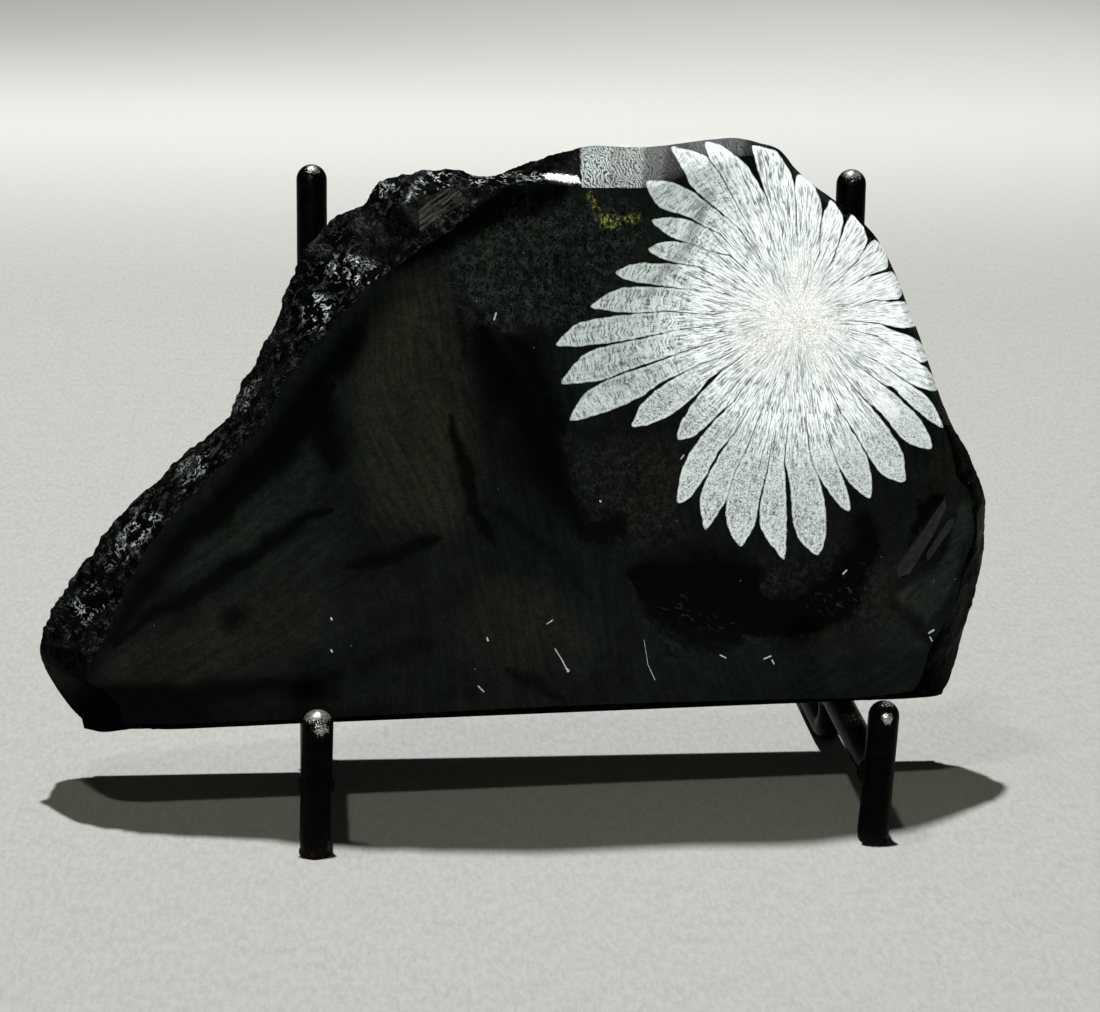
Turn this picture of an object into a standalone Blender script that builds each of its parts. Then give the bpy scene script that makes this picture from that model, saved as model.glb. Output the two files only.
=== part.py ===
# Chrysanthemum stone on a welded rod stand.
#
# A polished black slab with a white radial mineral flower in its face stands
# on two level ledge rods and leans back on two uprights.  The stand is welded
# from one size of round rod: two front posts, two ledges, two rear feet that
# lie on the floor and bend up into two leaning uprights, and two cross bars.
#
# Working units are millimetres; MM turns them into metres.  +X is to the
# viewer's right, +Y goes back from the viewer, +Z is up.  The origin is the
# middle of the bounding box, on the surface that the stand rests on.

import math

import bpy
from mathutils import Vector, noise

MM = 0.001

# ---------------------------------------------------------------- rod stand
ROD_R = 3.175                 # quarter-inch round rod
ROD_SIDES = 24
GAP = 0.3                     # clearance where welded rods meet
POST_SPACING = 115.7          # left to right, axis to axis
POST_HEIGHT = 31.8            # floor to the top of the front posts' domes
LEDGE_Z = (13.9, 14.6)        # axis height of the left and right ledge rod
UPRIGHT_Y = 45.0              # upright axis at height UPRIGHT_Y_AT_Z
UPRIGHT_Y_AT_Z = 14.6
UPRIGHT_TOP_Z = 129.7         # top of the uprights' domes
LEAN = math.radians(6.5)      # uprights and slab lean back
UPRIGHT_FOOT_X = (-57.85, 58.6)   # uprights' axes at the floor ...
UPRIGHT_TOP_X = (-57.6, 57.05)    # ... and at their tops
FOOT_BEND_R = 5.5             # centreline radius of the bend at the floor
FOOT_BACK_Y = 88.0            # domed back end of the rear feet
BEND_STEPS = 8
CROSS_LOW_Z = 24.0
CROSS_HIGH_Z = 82.0
POST_LEAN = (0.028, 0.005)    # sideways lean of the left and right front post

# ---------------------------------------------------------------- slab
SLAB_YAW = 0.04402            # the face turns slightly: left end nearer
SLAB_FACE_Y = 27.0            # face plane at X = 0, at the ledges' top
SLAB_STEP = 3.0               # spacing of the sections round the outline
BASE_GAP = 0.3
BASE_SWELL = 0.1
BACK_GAP = 0.3

# The outline, clockwise from the lower left corner, in the plane of the face:
# u (right), v (up the face) and depth w of the outermost edge, then u, v of
# the border of the polished face.  The strip between them is broken skin on
# the upper left, a polished bevel at the top and chipped facets on the right.
OUTLINE = (
    (-98.0, -0.5, 1.0, -96.5, 0.8),
    (-103.5, -0.5, 5.0, -98.0, 2.5),
    (-107.4, 0.3, 8.0, -99.5, 6.0),
    (-110.5, 3.6, 10.0, -102.5, 9.0),
    (-113.4, 9.2, 11.0, -104.5, 10.5),
    (-115.0, 13.0, 12.0, -105.5, 12.0),
    (-113.0, 21.0, 12.0, -101.5, 18.5),
    (-110.0, 26.5, 12.0, -98.0, 25.0),
    (-102.5, 37.0, 12.0, -93.5, 35.0),
    (-95.0, 45.5, 12.0, -87.5, 43.5),
    (-84.5, 55.5, 12.0, -78.0, 53.5),
    (-75.0, 63.5, 12.0, -70.5, 60.5),
    (-71.5, 70.0, 12.0, -66.0, 66.0),
    (-67.0, 78.5, 12.0, -59.5, 76.0),
    (-62.0, 90.0, 12.0, -51.0, 86.0),
    (-60.0, 96.0, 12.0, -47.5, 90.5),
    (-53.5, 103.5, 12.0, -42.5, 94.0),
    (-47.5, 107.0, 12.0, -38.0, 97.5),
    (-44.0, 110.5, 12.0, -35.0, 99.5),
    (-41.0, 113.0, 12.0, -31.0, 102.0),
    (-34.0, 114.5, 12.0, -27.0, 105.5),
    (-27.0, 115.0, 11.0, -21.0, 110.0),
    (-20.5, 113.5, 10.0, -16.5, 112.5),
    (-14.0, 115.5, 11.0, -11.0, 113.0),
    (-7.0, 118.0, 10.0, -5.0, 112.0),
    (0.0, 119.5, 9.0, 0.0, 112.0),
    (9.0, 119.5, 9.0, 8.0, 112.0),
    (16.0, 120.0, 7.5, 15.0, 113.0),
    (23.0, 121.5, 5.5, 22.5, 116.0),
    (30.5, 122.0, 4.0, 30.0, 118.0),
    (38.0, 120.5, 3.0, 37.0, 118.0),
    (42.5, 116.0, 2.0, 41.0, 115.0),
    (47.5, 111.5, 2.0, 46.0, 110.5),
    (55.0, 106.5, 2.0, 53.5, 105.5),
    (60.0, 102.0, 2.0, 58.0, 101.5),
    (65.0, 93.5, 2.0, 63.0, 93.0),
    (70.0, 82.5, 2.0, 68.0, 82.0),
    (73.5, 73.0, 2.0, 71.5, 72.5),
    (78.0, 63.0, 2.5, 76.0, 62.5),
    (83.0, 56.0, 4.5, 78.0, 57.0),
    (87.0, 49.5, 6.5, 78.5, 51.0),
    (89.5, 42.0, 7.5, 79.0, 44.0),
    (90.0, 34.0, 8.0, 79.5, 37.0),
    (88.5, 23.0, 8.0, 78.5, 26.0),
    (86.5, 13.5, 8.0, 76.5, 17.0),
    (84.5, 6.0, 7.5, 75.0, 10.0),
    (81.5, 1.0, 4.0, 75.0, 4.0),
    (70.0, 0.3, 1.0, 69.0, 2.0),
    (45.0, 0.0, 1.0, 45.0, 1.5),
    (15.0, 0.0, 1.0, 15.0, 1.5),
    (-20.0, 0.0, 1.0, -20.0, 1.5),
    (-55.0, 0.0, 1.0, -55.0, 1.5),
    (-80.0, -0.3, 1.0, -80.0, 0.9),
)


# ---------------------------------------------------------------- helpers
def clear_scene():
    for obj in list(bpy.data.objects):
        bpy.data.objects.remove(obj, do_unlink=True)


def material(name, colour, roughness, metallic=0.0):
    mat = bpy.data.materials.new(name)
    mat.use_nodes = True
    shader = mat.node_tree.nodes["Principled BSDF"]
    shader.inputs["Base Color"].default_value = (*colour, 1.0)
    shader.inputs["Roughness"].default_value = roughness
    shader.inputs["Metallic"].default_value = metallic
    mat.diffuse_color = (*colour, 1.0)
    return mat


def make_object(name, verts, faces, mat, parent, sharp_deg=40.0):
    mesh = bpy.data.meshes.new(name)
    mesh.from_pydata([tuple(c * MM for c in v) for v in verts], [], faces)
    mesh.update()
    mesh.materials.append(mat)
    mesh.shade_smooth()
    mesh.set_sharp_from_angle(angle=math.radians(sharp_deg))
    obj = bpy.data.objects.new(name, mesh)
    bpy.context.scene.collection.objects.link(obj)
    obj.parent = parent
    return obj


def ring(centre, axis, radius, sides=ROD_SIDES):
    """Points of a circle; the first point lies lowest, or frontmost."""
    axis = axis.normalized()
    first = Vector((0, 0, -1)) if abs(axis.z) < 0.8 else Vector((0, -1, 0))
    a = (first - axis * first.dot(axis)).normalized()
    b = axis.cross(a)
    return [centre + (a * math.cos(t) + b * math.sin(t)) * radius
            for t in (2 * math.pi * i / sides for i in range(sides))]


def loft(loops, start_pole=None, end_pole=None):
    """Quads between loops of equal length, closed by a fan or a flat cap."""
    n = len(loops[0])
    verts = [p for loop in loops for p in loop]
    faces = []
    for k in range(len(loops) - 1):
        for i in range(n):
            j = (i + 1) % n
            faces.append((k * n + i, k * n + j, (k + 1) * n + j, (k + 1) * n + i))
    last = (len(loops) - 1) * n
    if start_pole is None:
        faces.append(tuple(reversed(range(n))))
    else:
        verts.append(start_pole)
        c = len(verts) - 1
        faces += [((i + 1) % n, i, c) for i in range(n)]
    if end_pole is None:
        faces.append(tuple(last + i for i in range(n)))
    else:
        verts.append(end_pole)
        c = len(verts) - 1
        faces += [(last + i, last + (i + 1) % n, c) for i in range(n)]
    return verts, faces


def dome(centre, axis, radius=ROD_R, steps=5):
    """Rings and pole of a hemisphere that continues a rod along axis."""
    axis = axis.normalized()
    rings = []
    for k in range(1, steps):
        t = 0.5 * math.pi * k / steps
        rings.append(ring(centre + axis * radius * math.sin(t), axis,
                          radius * math.cos(t)))
    return rings, centre + axis * radius


def straight_rod(start, end, domed_end=False, cut=0.35):
    """A rod with a broken edge at a cut end, or a dome at its far end."""
    start, end = Vector(start), Vector(end)
    axis = (end - start).normalized()
    loops = [ring(start, axis, ROD_R - cut), ring(start + axis * cut, axis, ROD_R)]
    pole = None
    if domed_end:
        base = end - axis * ROD_R
        loops.append(ring(base, axis, ROD_R))
        rings, pole = dome(base, axis)
        loops += rings
    else:
        loops += [ring(end - axis * cut, axis, ROD_R), ring(end, axis, ROD_R - cut)]
    return loft(loops, None, pole)


def upright_point(z):
    """Y of the uprights' axis at height z."""
    return UPRIGHT_Y + (z - UPRIGHT_Y_AT_Z) * math.tan(LEAN)


# ---------------------------------------------------------------- the slab
def closed_spline(rows, step):
    """Centripetal spline through rows of numbers, sampled about every step."""
    n = len(rows)
    out = []

    def mix(a, b, ta, tb, t):
        k = (t - ta) / (tb - ta)
        return [x + (y - x) * k for x, y in zip(a, b)]

    for i in range(n):
        p = [rows[(i + k - 1) % n] for k in range(4)]
        t = [0.0]
        for k in range(3):
            d = math.hypot(p[k + 1][0] - p[k][0], p[k + 1][1] - p[k][1])
            t.append(t[-1] + math.sqrt(max(d, 1e-6)))
        length = math.hypot(p[2][0] - p[1][0], p[2][1] - p[1][1])
        count = max(1, round(length / step))
        for s in range(count):
            x = t[1] + (t[2] - t[1]) * s / count
            a1 = mix(p[0], p[1], t[0], t[1], x)
            a2 = mix(p[1], p[2], t[1], t[2], x)
            a3 = mix(p[2], p[3], t[2], t[3], x)
            b1 = mix(a1, a2, t[0], t[2], x)
            b2 = mix(a2, a3, t[1], t[3], x)
            out.append(mix(b1, b2, t[1], t[2], x))
    return out


def slab_axes():
    right = Vector((1.0, SLAB_YAW, 0.0)).normalized()
    rise = Vector((0.0, math.sin(LEAN), math.cos(LEAN)))
    into = rise.cross(right).normalized()
    if into.y < 0:
        into = -into
    up = right.cross(into).normalized()
    if up.z < 0:
        up = -up
    return right, up, into


def build_slab(mat, parent):
    right, up, into = slab_axes()
    origin = Vector((0.0, SLAB_FACE_Y, max(LEDGE_Z) + ROD_R))

    # the back is sawn parallel to the plane that the uprights make
    back_n = Vector((0.0, math.cos(LEAN), -math.sin(LEAN)))
    back_p = (Vector((0.0, UPRIGHT_Y, UPRIGHT_Y_AT_Z))
              - back_n * (ROD_R + BACK_GAP))

    def place(u, v, w):
        return origin + right * u + up * v + into * w

    def base_height(x):
        """The base is cut flat and rests on both ledges, the left one lower;
        it swells down a little beyond the left one."""
        middle = (LEDGE_Z[0] + LEDGE_Z[1]) / 2 + ROD_R + BASE_GAP
        swell = BASE_SWELL * min(1.0, max(0.0, (-63.0 - x) / 9.0))
        return middle + x * (LEDGE_Z[1] - LEDGE_Z[0]) / POST_SPACING - swell

    def thickness(u, v):
        return (back_p - place(u, v, 0.0)).dot(back_n) / into.dot(back_n)

    rows = closed_spline(OUTLINE, SLAB_STEP)
    n = len(rows)
    # inward direction of the outer edge at each section
    inward = []
    for i in range(n):
        a, b = rows[i - 1], rows[(i + 1) % n]
        du, dv = b[0] - a[0], b[1] - a[1]
        d = math.hypot(du, dv)
        inward.append((dv / d, -du / d))

    def rough(u, v, w, amount):
        return noise.noise(Vector((u * 0.16, v * 0.16, w * 0.16 + 3.1))) * amount

    loops = []
    for kind in ("face", "shoulder", "edge", "side", "back_edge", "back"):
        loop = []
        for i, (uo, vo, wo, ui, vi) in enumerate(rows):
            nu, nv = inward[i]
            band = math.hypot(uo - ui, vo - vi)
            t = thickness(uo, vo)
            if kind == "face":
                u, v, w = ui, vi, 0.0
            elif kind == "shoulder":
                swell = 0.10 * band
                u = 0.5 * (uo + ui) - nu * swell
                v = 0.5 * (vo + vi) - nv * swell
                w = 0.36 * wo + rough(u, v, 0.0, 0.22 * max(0.0, band - 2.0))
            elif kind == "edge":
                e = rough(uo, vo, 7.0, 0.08 * band)
                u, v, w = uo + nu * abs(e), vo + nv * abs(e), wo
            elif kind == "side":
                w = wo + 0.55 * (t - wo)
                e = 0.5 + 1.4 * abs(rough(uo, vo, 20.0, 1.0))
                u, v = uo + nu * e, vo + nv * e
            elif kind == "back_edge":
                e = 1.6 + 1.2 * abs(rough(uo, vo, 33.0, 1.0))
                u, v = uo + nu * e, vo + nv * e
                w = thickness(u, v) - 1.0
            else:
                e = 3.2 + 1.2 * abs(rough(uo, vo, 33.0, 1.0))
                u, v = uo + nu * e, vo + nv * e
                w = thickness(u, v)
            p = place(u, v, w)
            base = base_height(p.x)
            low = vo < 0.5 and kind not in ("face", "shoulder")
            if p.z < base or low:
                p.z = base
            if low and kind in ("back_edge", "back"):
                # keep the base reaching the back plane
                depth = (p - back_p).dot(back_n)
                p -= back_n * depth if kind == "back" else back_n * (depth + 1.0)
                p.z = base if kind == "back_edge" else base + 0.8
                if kind == "back":
                    p.y = back_p.y + (p.z - back_p.z) * math.tan(LEAN)
            loop.append(p)
        loops.append(loop)
    verts, faces = loft(loops)
    return make_object("stone", verts, faces, mat, parent, 30.0)


# ---------------------------------------------------------------- the stand
def front_post(name, side, lean, profile, mat, parent):
    """Short upright rod, sheared sideways a little, foot flat on the floor."""
    x0 = side * POST_SPACING / 2
    loops = []
    for z, r in profile:
        loops.append(ring(Vector((x0 + lean * z, 0, z)), Vector((0, 0, 1)), r))
    base = POST_HEIGHT - ROD_R
    loops.append(ring(Vector((x0 + lean * base, 0, base)), Vector((0, 0, 1)), ROD_R))
    axis = Vector((lean, 0, 1))
    for k in range(1, 5):
        t = 0.5 * math.pi * k / 5
        c = Vector((x0 + lean * base, 0, base)) + axis * ROD_R * math.sin(t)
        loops.append(ring(c, Vector((0, 0, 1)), ROD_R * math.cos(t)))
    pole = Vector((x0 + lean * POST_HEIGHT, 0, POST_HEIGHT))
    verts, faces = loft(loops, None, pole)
    return make_object(name, verts, faces, mat, parent)


def ledge(name, side, mat, parent):
    """Level rod from the front post back to the upright."""
    z = LEDGE_Z[0] if side < 0 else LEDGE_Z[1]
    lean = POST_LEAN[0] if side < 0 else POST_LEAN[1]
    x = side * POST_SPACING / 2
    start = Vector((x + lean * z, ROD_R + GAP, z))
    end = Vector((x, upright_point(z) - ROD_R - GAP, z))
    verts, faces = straight_rod(start, end)
    return make_object(name, verts, faces, mat, parent)


def upright_axis(side, z):
    """Point of an upright's axis at height z."""
    i = 0 if side < 0 else 1
    k = z / UPRIGHT_TOP_Z
    return Vector((UPRIGHT_FOOT_X[i] * (1 - k) + UPRIGHT_TOP_X[i] * k,
                   upright_point(z), z))


def rear_foot(name, side, mat, parent):
    """Bend that carries the upright, and the rod lying on the floor."""
    turn = math.pi / 2 + LEAN                # from the upright round to +Y
    low = upright_axis(side, ROD_R)
    centre = low + Vector((0, FOOT_BEND_R * math.tan(turn / 2), FOOT_BEND_R))
    loops = []
    for k in range(BEND_STEPS + 1):
        a = turn * (1 - k / BEND_STEPS)
        out = Vector((0, -math.sin(a), -math.cos(a)))
        side_way = Vector((0, math.cos(a), -math.sin(a))).cross(out)
        c = centre + out * FOOT_BEND_R
        loops.append([c + (out * math.cos(t) + side_way * math.sin(t)) * ROD_R
                      for t in (2 * math.pi * i / ROD_SIDES
                                for i in range(ROD_SIDES))])
    back = Vector((low.x, FOOT_BACK_Y - ROD_R, ROD_R))
    loops.append(ring(back, Vector((0, 1, 0)), ROD_R))
    rings, pole = dome(back, Vector((0, 1, 0)))
    verts, faces = loft(loops + rings, None, pole)
    make_object(name, verts, faces, mat, parent)
    # top end of the bend, where the upright begins
    return centre + Vector((0, -math.sin(turn), -math.cos(turn))) * FOOT_BEND_R


def upright(name, side, foot_top, mat, parent):
    """Rises from the rear foot's bend, leans back, ends in a dome."""
    top = upright_axis(side, UPRIGHT_TOP_Z)
    axis = (top - foot_top).normalized()
    low = foot_top + axis * GAP
    base = top - axis * ROD_R
    rings, pole = dome(base, axis)
    verts, faces = loft([ring(low, axis, ROD_R), ring(base, axis, ROD_R)] + rings,
                        None, pole)
    return make_object(name, verts, faces, mat, parent)


def cross_bar(name, z, mat, parent):
    clear = ROD_R + GAP + 0.1
    verts, faces = straight_rod(upright_axis(-1, z) + Vector((clear, 0, 0)),
                                upright_axis(1, z) - Vector((clear, 0, 0)))
    return make_object(name, verts, faces, mat, parent)


def main():
    clear_scene()
    stone_mat = material("black_polished_stone", (0.012, 0.012, 0.012), 0.14)
    paint = material("black_rod_paint", (0.008, 0.008, 0.009), 0.34, 0.0)

    # the working frame is centred between the front posts; this empty shifts
    # the whole object so that its box is centred on the origin
    root = bpy.data.objects.new("assembly", None)
    bpy.context.scene.collection.objects.link(root)

    build_slab(stone_mat, root)

    left_profile = ((0.0, 3.1), (0.25, 3.25), (0.7, 3.25), (1.0, 3.0),
                    (2.0, 3.02), (3.4, ROD_R))
    right_profile = ((0.0, 2.6), (0.45, 3.05), (1.3, 3.28), (5.5, 3.3),
                     (8.0, ROD_R))
    front_post("left_front_post", -1, POST_LEAN[0], left_profile, paint, root)
    front_post("right_front_post", 1, POST_LEAN[1], right_profile, paint, root)
    ledge("left_ledge", -1, paint, root)
    ledge("right_ledge", 1, paint, root)
    left_bend = rear_foot("left_rear_foot", -1, paint, root)
    right_bend = rear_foot("right_rear_foot", 1, paint, root)
    upright("left_upright", -1, left_bend, paint, root)
    upright("right_upright", 1, right_bend, paint, root)
    cross_bar("lower_cross_bar", CROSS_LOW_Z, paint, root)
    cross_bar("upper_cross_bar", CROSS_HIGH_Z, paint, root)

    lo, hi = [1e9] * 3, [-1e9] * 3
    for obj in root.children:
        for v in obj.data.vertices:
            for k in range(3):
                lo[k] = min(lo[k], v.co[k])
                hi[k] = max(hi[k], v.co[k])
    root.location = (-(lo[0] + hi[0]) / 2, -(lo[1] + hi[1]) / 2, -lo[2])
    bpy.context.view_layer.update()


main()
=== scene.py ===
import math

import bpy
import numpy as np
from mathutils import Matrix, Vector, kdtree, noise
from mathutils.geometry import delaunay_2d_cdt

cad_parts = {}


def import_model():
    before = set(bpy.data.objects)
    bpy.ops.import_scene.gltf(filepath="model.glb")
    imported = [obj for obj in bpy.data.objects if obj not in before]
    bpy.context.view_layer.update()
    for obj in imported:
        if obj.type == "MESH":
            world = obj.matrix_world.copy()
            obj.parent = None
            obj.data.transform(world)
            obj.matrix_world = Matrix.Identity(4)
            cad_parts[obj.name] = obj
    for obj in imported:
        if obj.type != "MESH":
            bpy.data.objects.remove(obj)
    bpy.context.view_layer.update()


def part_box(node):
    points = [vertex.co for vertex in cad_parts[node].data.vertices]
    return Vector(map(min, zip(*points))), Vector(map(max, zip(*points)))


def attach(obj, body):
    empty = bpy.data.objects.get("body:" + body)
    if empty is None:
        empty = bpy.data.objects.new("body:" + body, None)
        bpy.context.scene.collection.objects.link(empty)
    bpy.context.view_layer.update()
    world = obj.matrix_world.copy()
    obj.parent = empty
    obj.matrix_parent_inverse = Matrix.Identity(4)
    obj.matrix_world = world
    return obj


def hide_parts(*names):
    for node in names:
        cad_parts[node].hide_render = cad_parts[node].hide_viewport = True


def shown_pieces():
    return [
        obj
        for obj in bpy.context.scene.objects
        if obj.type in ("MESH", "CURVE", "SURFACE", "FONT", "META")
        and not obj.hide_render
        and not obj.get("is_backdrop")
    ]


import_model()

RNG = np.random.default_rng(41)
MM = 0.001

# ------------------------------------------------------------------ frames
# Stand frame, in mm: X to the right, Y back, Z up, midway between the front
# posts.  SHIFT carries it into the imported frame.
_lo, _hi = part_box("left_rear_foot")
SHIFT = Vector(((_lo.x + _hi.x) / 2 / MM + 57.844, _hi.y / MM - 88.0, 0.0))

ROD_R = 3.175
LEAN = math.radians(6.5)
YAW = 0.04402
LEDGE_Z = (13.9, 14.6)
POST_X = 57.85

RIGHT = Vector((1.0, YAW, 0.0)).normalized()
_rise = Vector((0.0, math.sin(LEAN), math.cos(LEAN)))
INTO = _rise.cross(RIGHT).normalized()
if INTO.y < 0:
    INTO = -INTO
UP = RIGHT.cross(INTO).normalized()
if UP.z < 0:
    UP = -UP
ORIGIN = Vector((0.0, 27.0, 17.775))

# ------------------------------------------------------------------ camera
PITCH, TURN, ROLL = math.radians(19.704), math.radians(6.194), math.radians(1.708)
FOCAL, CX, CY = 2200.0, 550.0, 506.0


def _turned(v):
    c, s = math.cos(TURN), math.sin(TURN)
    return Vector((c * v.x + s * v.y, -s * v.x + c * v.y, v.z))


CAM_F = _turned(Vector((0, math.cos(PITCH), -math.sin(PITCH))))
CAM_R = _turned(Vector((1, 0, 0)))
CAM_U = _turned(Vector((0, math.sin(PITCH), math.cos(PITCH))))
EYE = CAM_F * -453.21 + CAM_R * -11.79 + CAM_U * 69.86


def seen(px, py, w=0.0):
    """Where the line of sight through a point of the picture meets the plane
    at depth w behind the polished face, as (u, v) in mm."""
    xr, yr = px - CX, CY - py
    x = xr * math.cos(ROLL) - yr * math.sin(ROLL)
    y = xr * math.sin(ROLL) + yr * math.cos(ROLL)
    ray = CAM_F + CAM_R * (x / FOCAL) + CAM_U * (y / FOCAL)
    t = (w - INTO.dot(EYE - ORIGIN)) / INTO.dot(ray)
    p = EYE + ray * t - ORIGIN
    return p.dot(RIGHT), p.dot(UP)


def picture(uvw):
    """Picture position of points given as an array of (u, v, w) in mm."""
    p = (np.outer(uvw[:, 0], RIGHT) + np.outer(uvw[:, 1], UP)
         + np.outer(uvw[:, 2], INTO) + np.array(ORIGIN) - np.array(EYE))
    z = p @ np.array(CAM_F)
    x = FOCAL * (p @ np.array(CAM_R)) / z
    y = FOCAL * (p @ np.array(CAM_U)) / z
    c, s = math.cos(ROLL), math.sin(ROLL)
    return np.stack([CX + x * c + y * s, CY + x * s - y * c], 1)


# ------------------------------------------------------------------ helpers
def smooth(a, b, x):
    t = np.clip((np.asarray(x, float) - a) / (b - a), 0, 1)
    return t * t * (3 - 2 * t)


def field(p, scale, seed=0.0, octaves=1):
    """Smooth noise, about -1 to 1, at each row of p (mm)."""
    off = Vector((seed * 7.13, seed * 3.71, seed * 5.37))
    out = np.zeros(len(p))
    amp, total = 1.0, 0.0
    for k in range(octaves):
        s = scale * 2 ** k
        out += amp * np.array([noise.noise(Vector(q) * s + off * (k + 1)) for q in p.tolist()])
        total += amp
        amp *= 0.5
    return out / total


def inside(points, poly):
    """Which points lie inside a closed polygon."""
    x, y = points[:, 0], points[:, 1]
    hit = np.zeros(len(points), bool)
    px, py = poly[:, 0], poly[:, 1]
    qx, qy = np.roll(px, -1), np.roll(py, -1)
    for a, b, c, d in zip(px, py, qx, qy):
        if b == d:
            continue
        cross = ((b > y) != (d > y)) & (x < (c - a) * (y - b) / (d - b) + a)
        hit ^= cross
    return hit


def to_line(points, line, closed=False):
    """Distance from each point to a polyline."""
    best = np.full(len(points), 1e9)
    k = len(line)
    for i in range(k if closed else k - 1):
        a, b = line[i], line[(i + 1) % k]
        d = b - a
        t = np.clip(((points - a) @ d) / max(d @ d, 1e-9), 0, 1)
        best = np.minimum(best, np.hypot(*(points - a - t[:, None] * d).T))
    return best


def spline(rows, step, closed):
    """Centripetal spline through rows of numbers; the first two are lengths."""
    rows = [list(map(float, r)) for r in rows]
    n = len(rows)
    out = []
    for i in range(n if closed else n - 1):
        if closed:
            p = [rows[(i + k - 1) % n] for k in range(4)]
        else:
            p = [rows[min(max(i + k - 1, 0), n - 1)] for k in range(4)]
        t = [0.0]
        for k in range(3):
            d = math.hypot(p[k + 1][0] - p[k][0], p[k + 1][1] - p[k][1])
            t.append(t[-1] + math.sqrt(max(d, 1e-6)))
        length = math.hypot(p[2][0] - p[1][0], p[2][1] - p[1][1])
        count = max(1, round(length / step))

        def mix(a, b, ta, tb, x):
            k = (x - ta) / (tb - ta)
            return [v + (w - v) * k for v, w in zip(a, b)]

        for s in range(count):
            x = t[1] + (t[2] - t[1]) * s / count
            a1, a2, a3 = (mix(p[j], p[j + 1], t[j], t[j + 1], x) for j in range(3))
            b1, b2 = mix(a1, a2, t[0], t[2], x), mix(a2, a3, t[1], t[3], x)
            out.append(mix(b1, b2, t[1], t[2], x))
    if not closed:
        out.append(rows[-1])
    return np.array(out)


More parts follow.
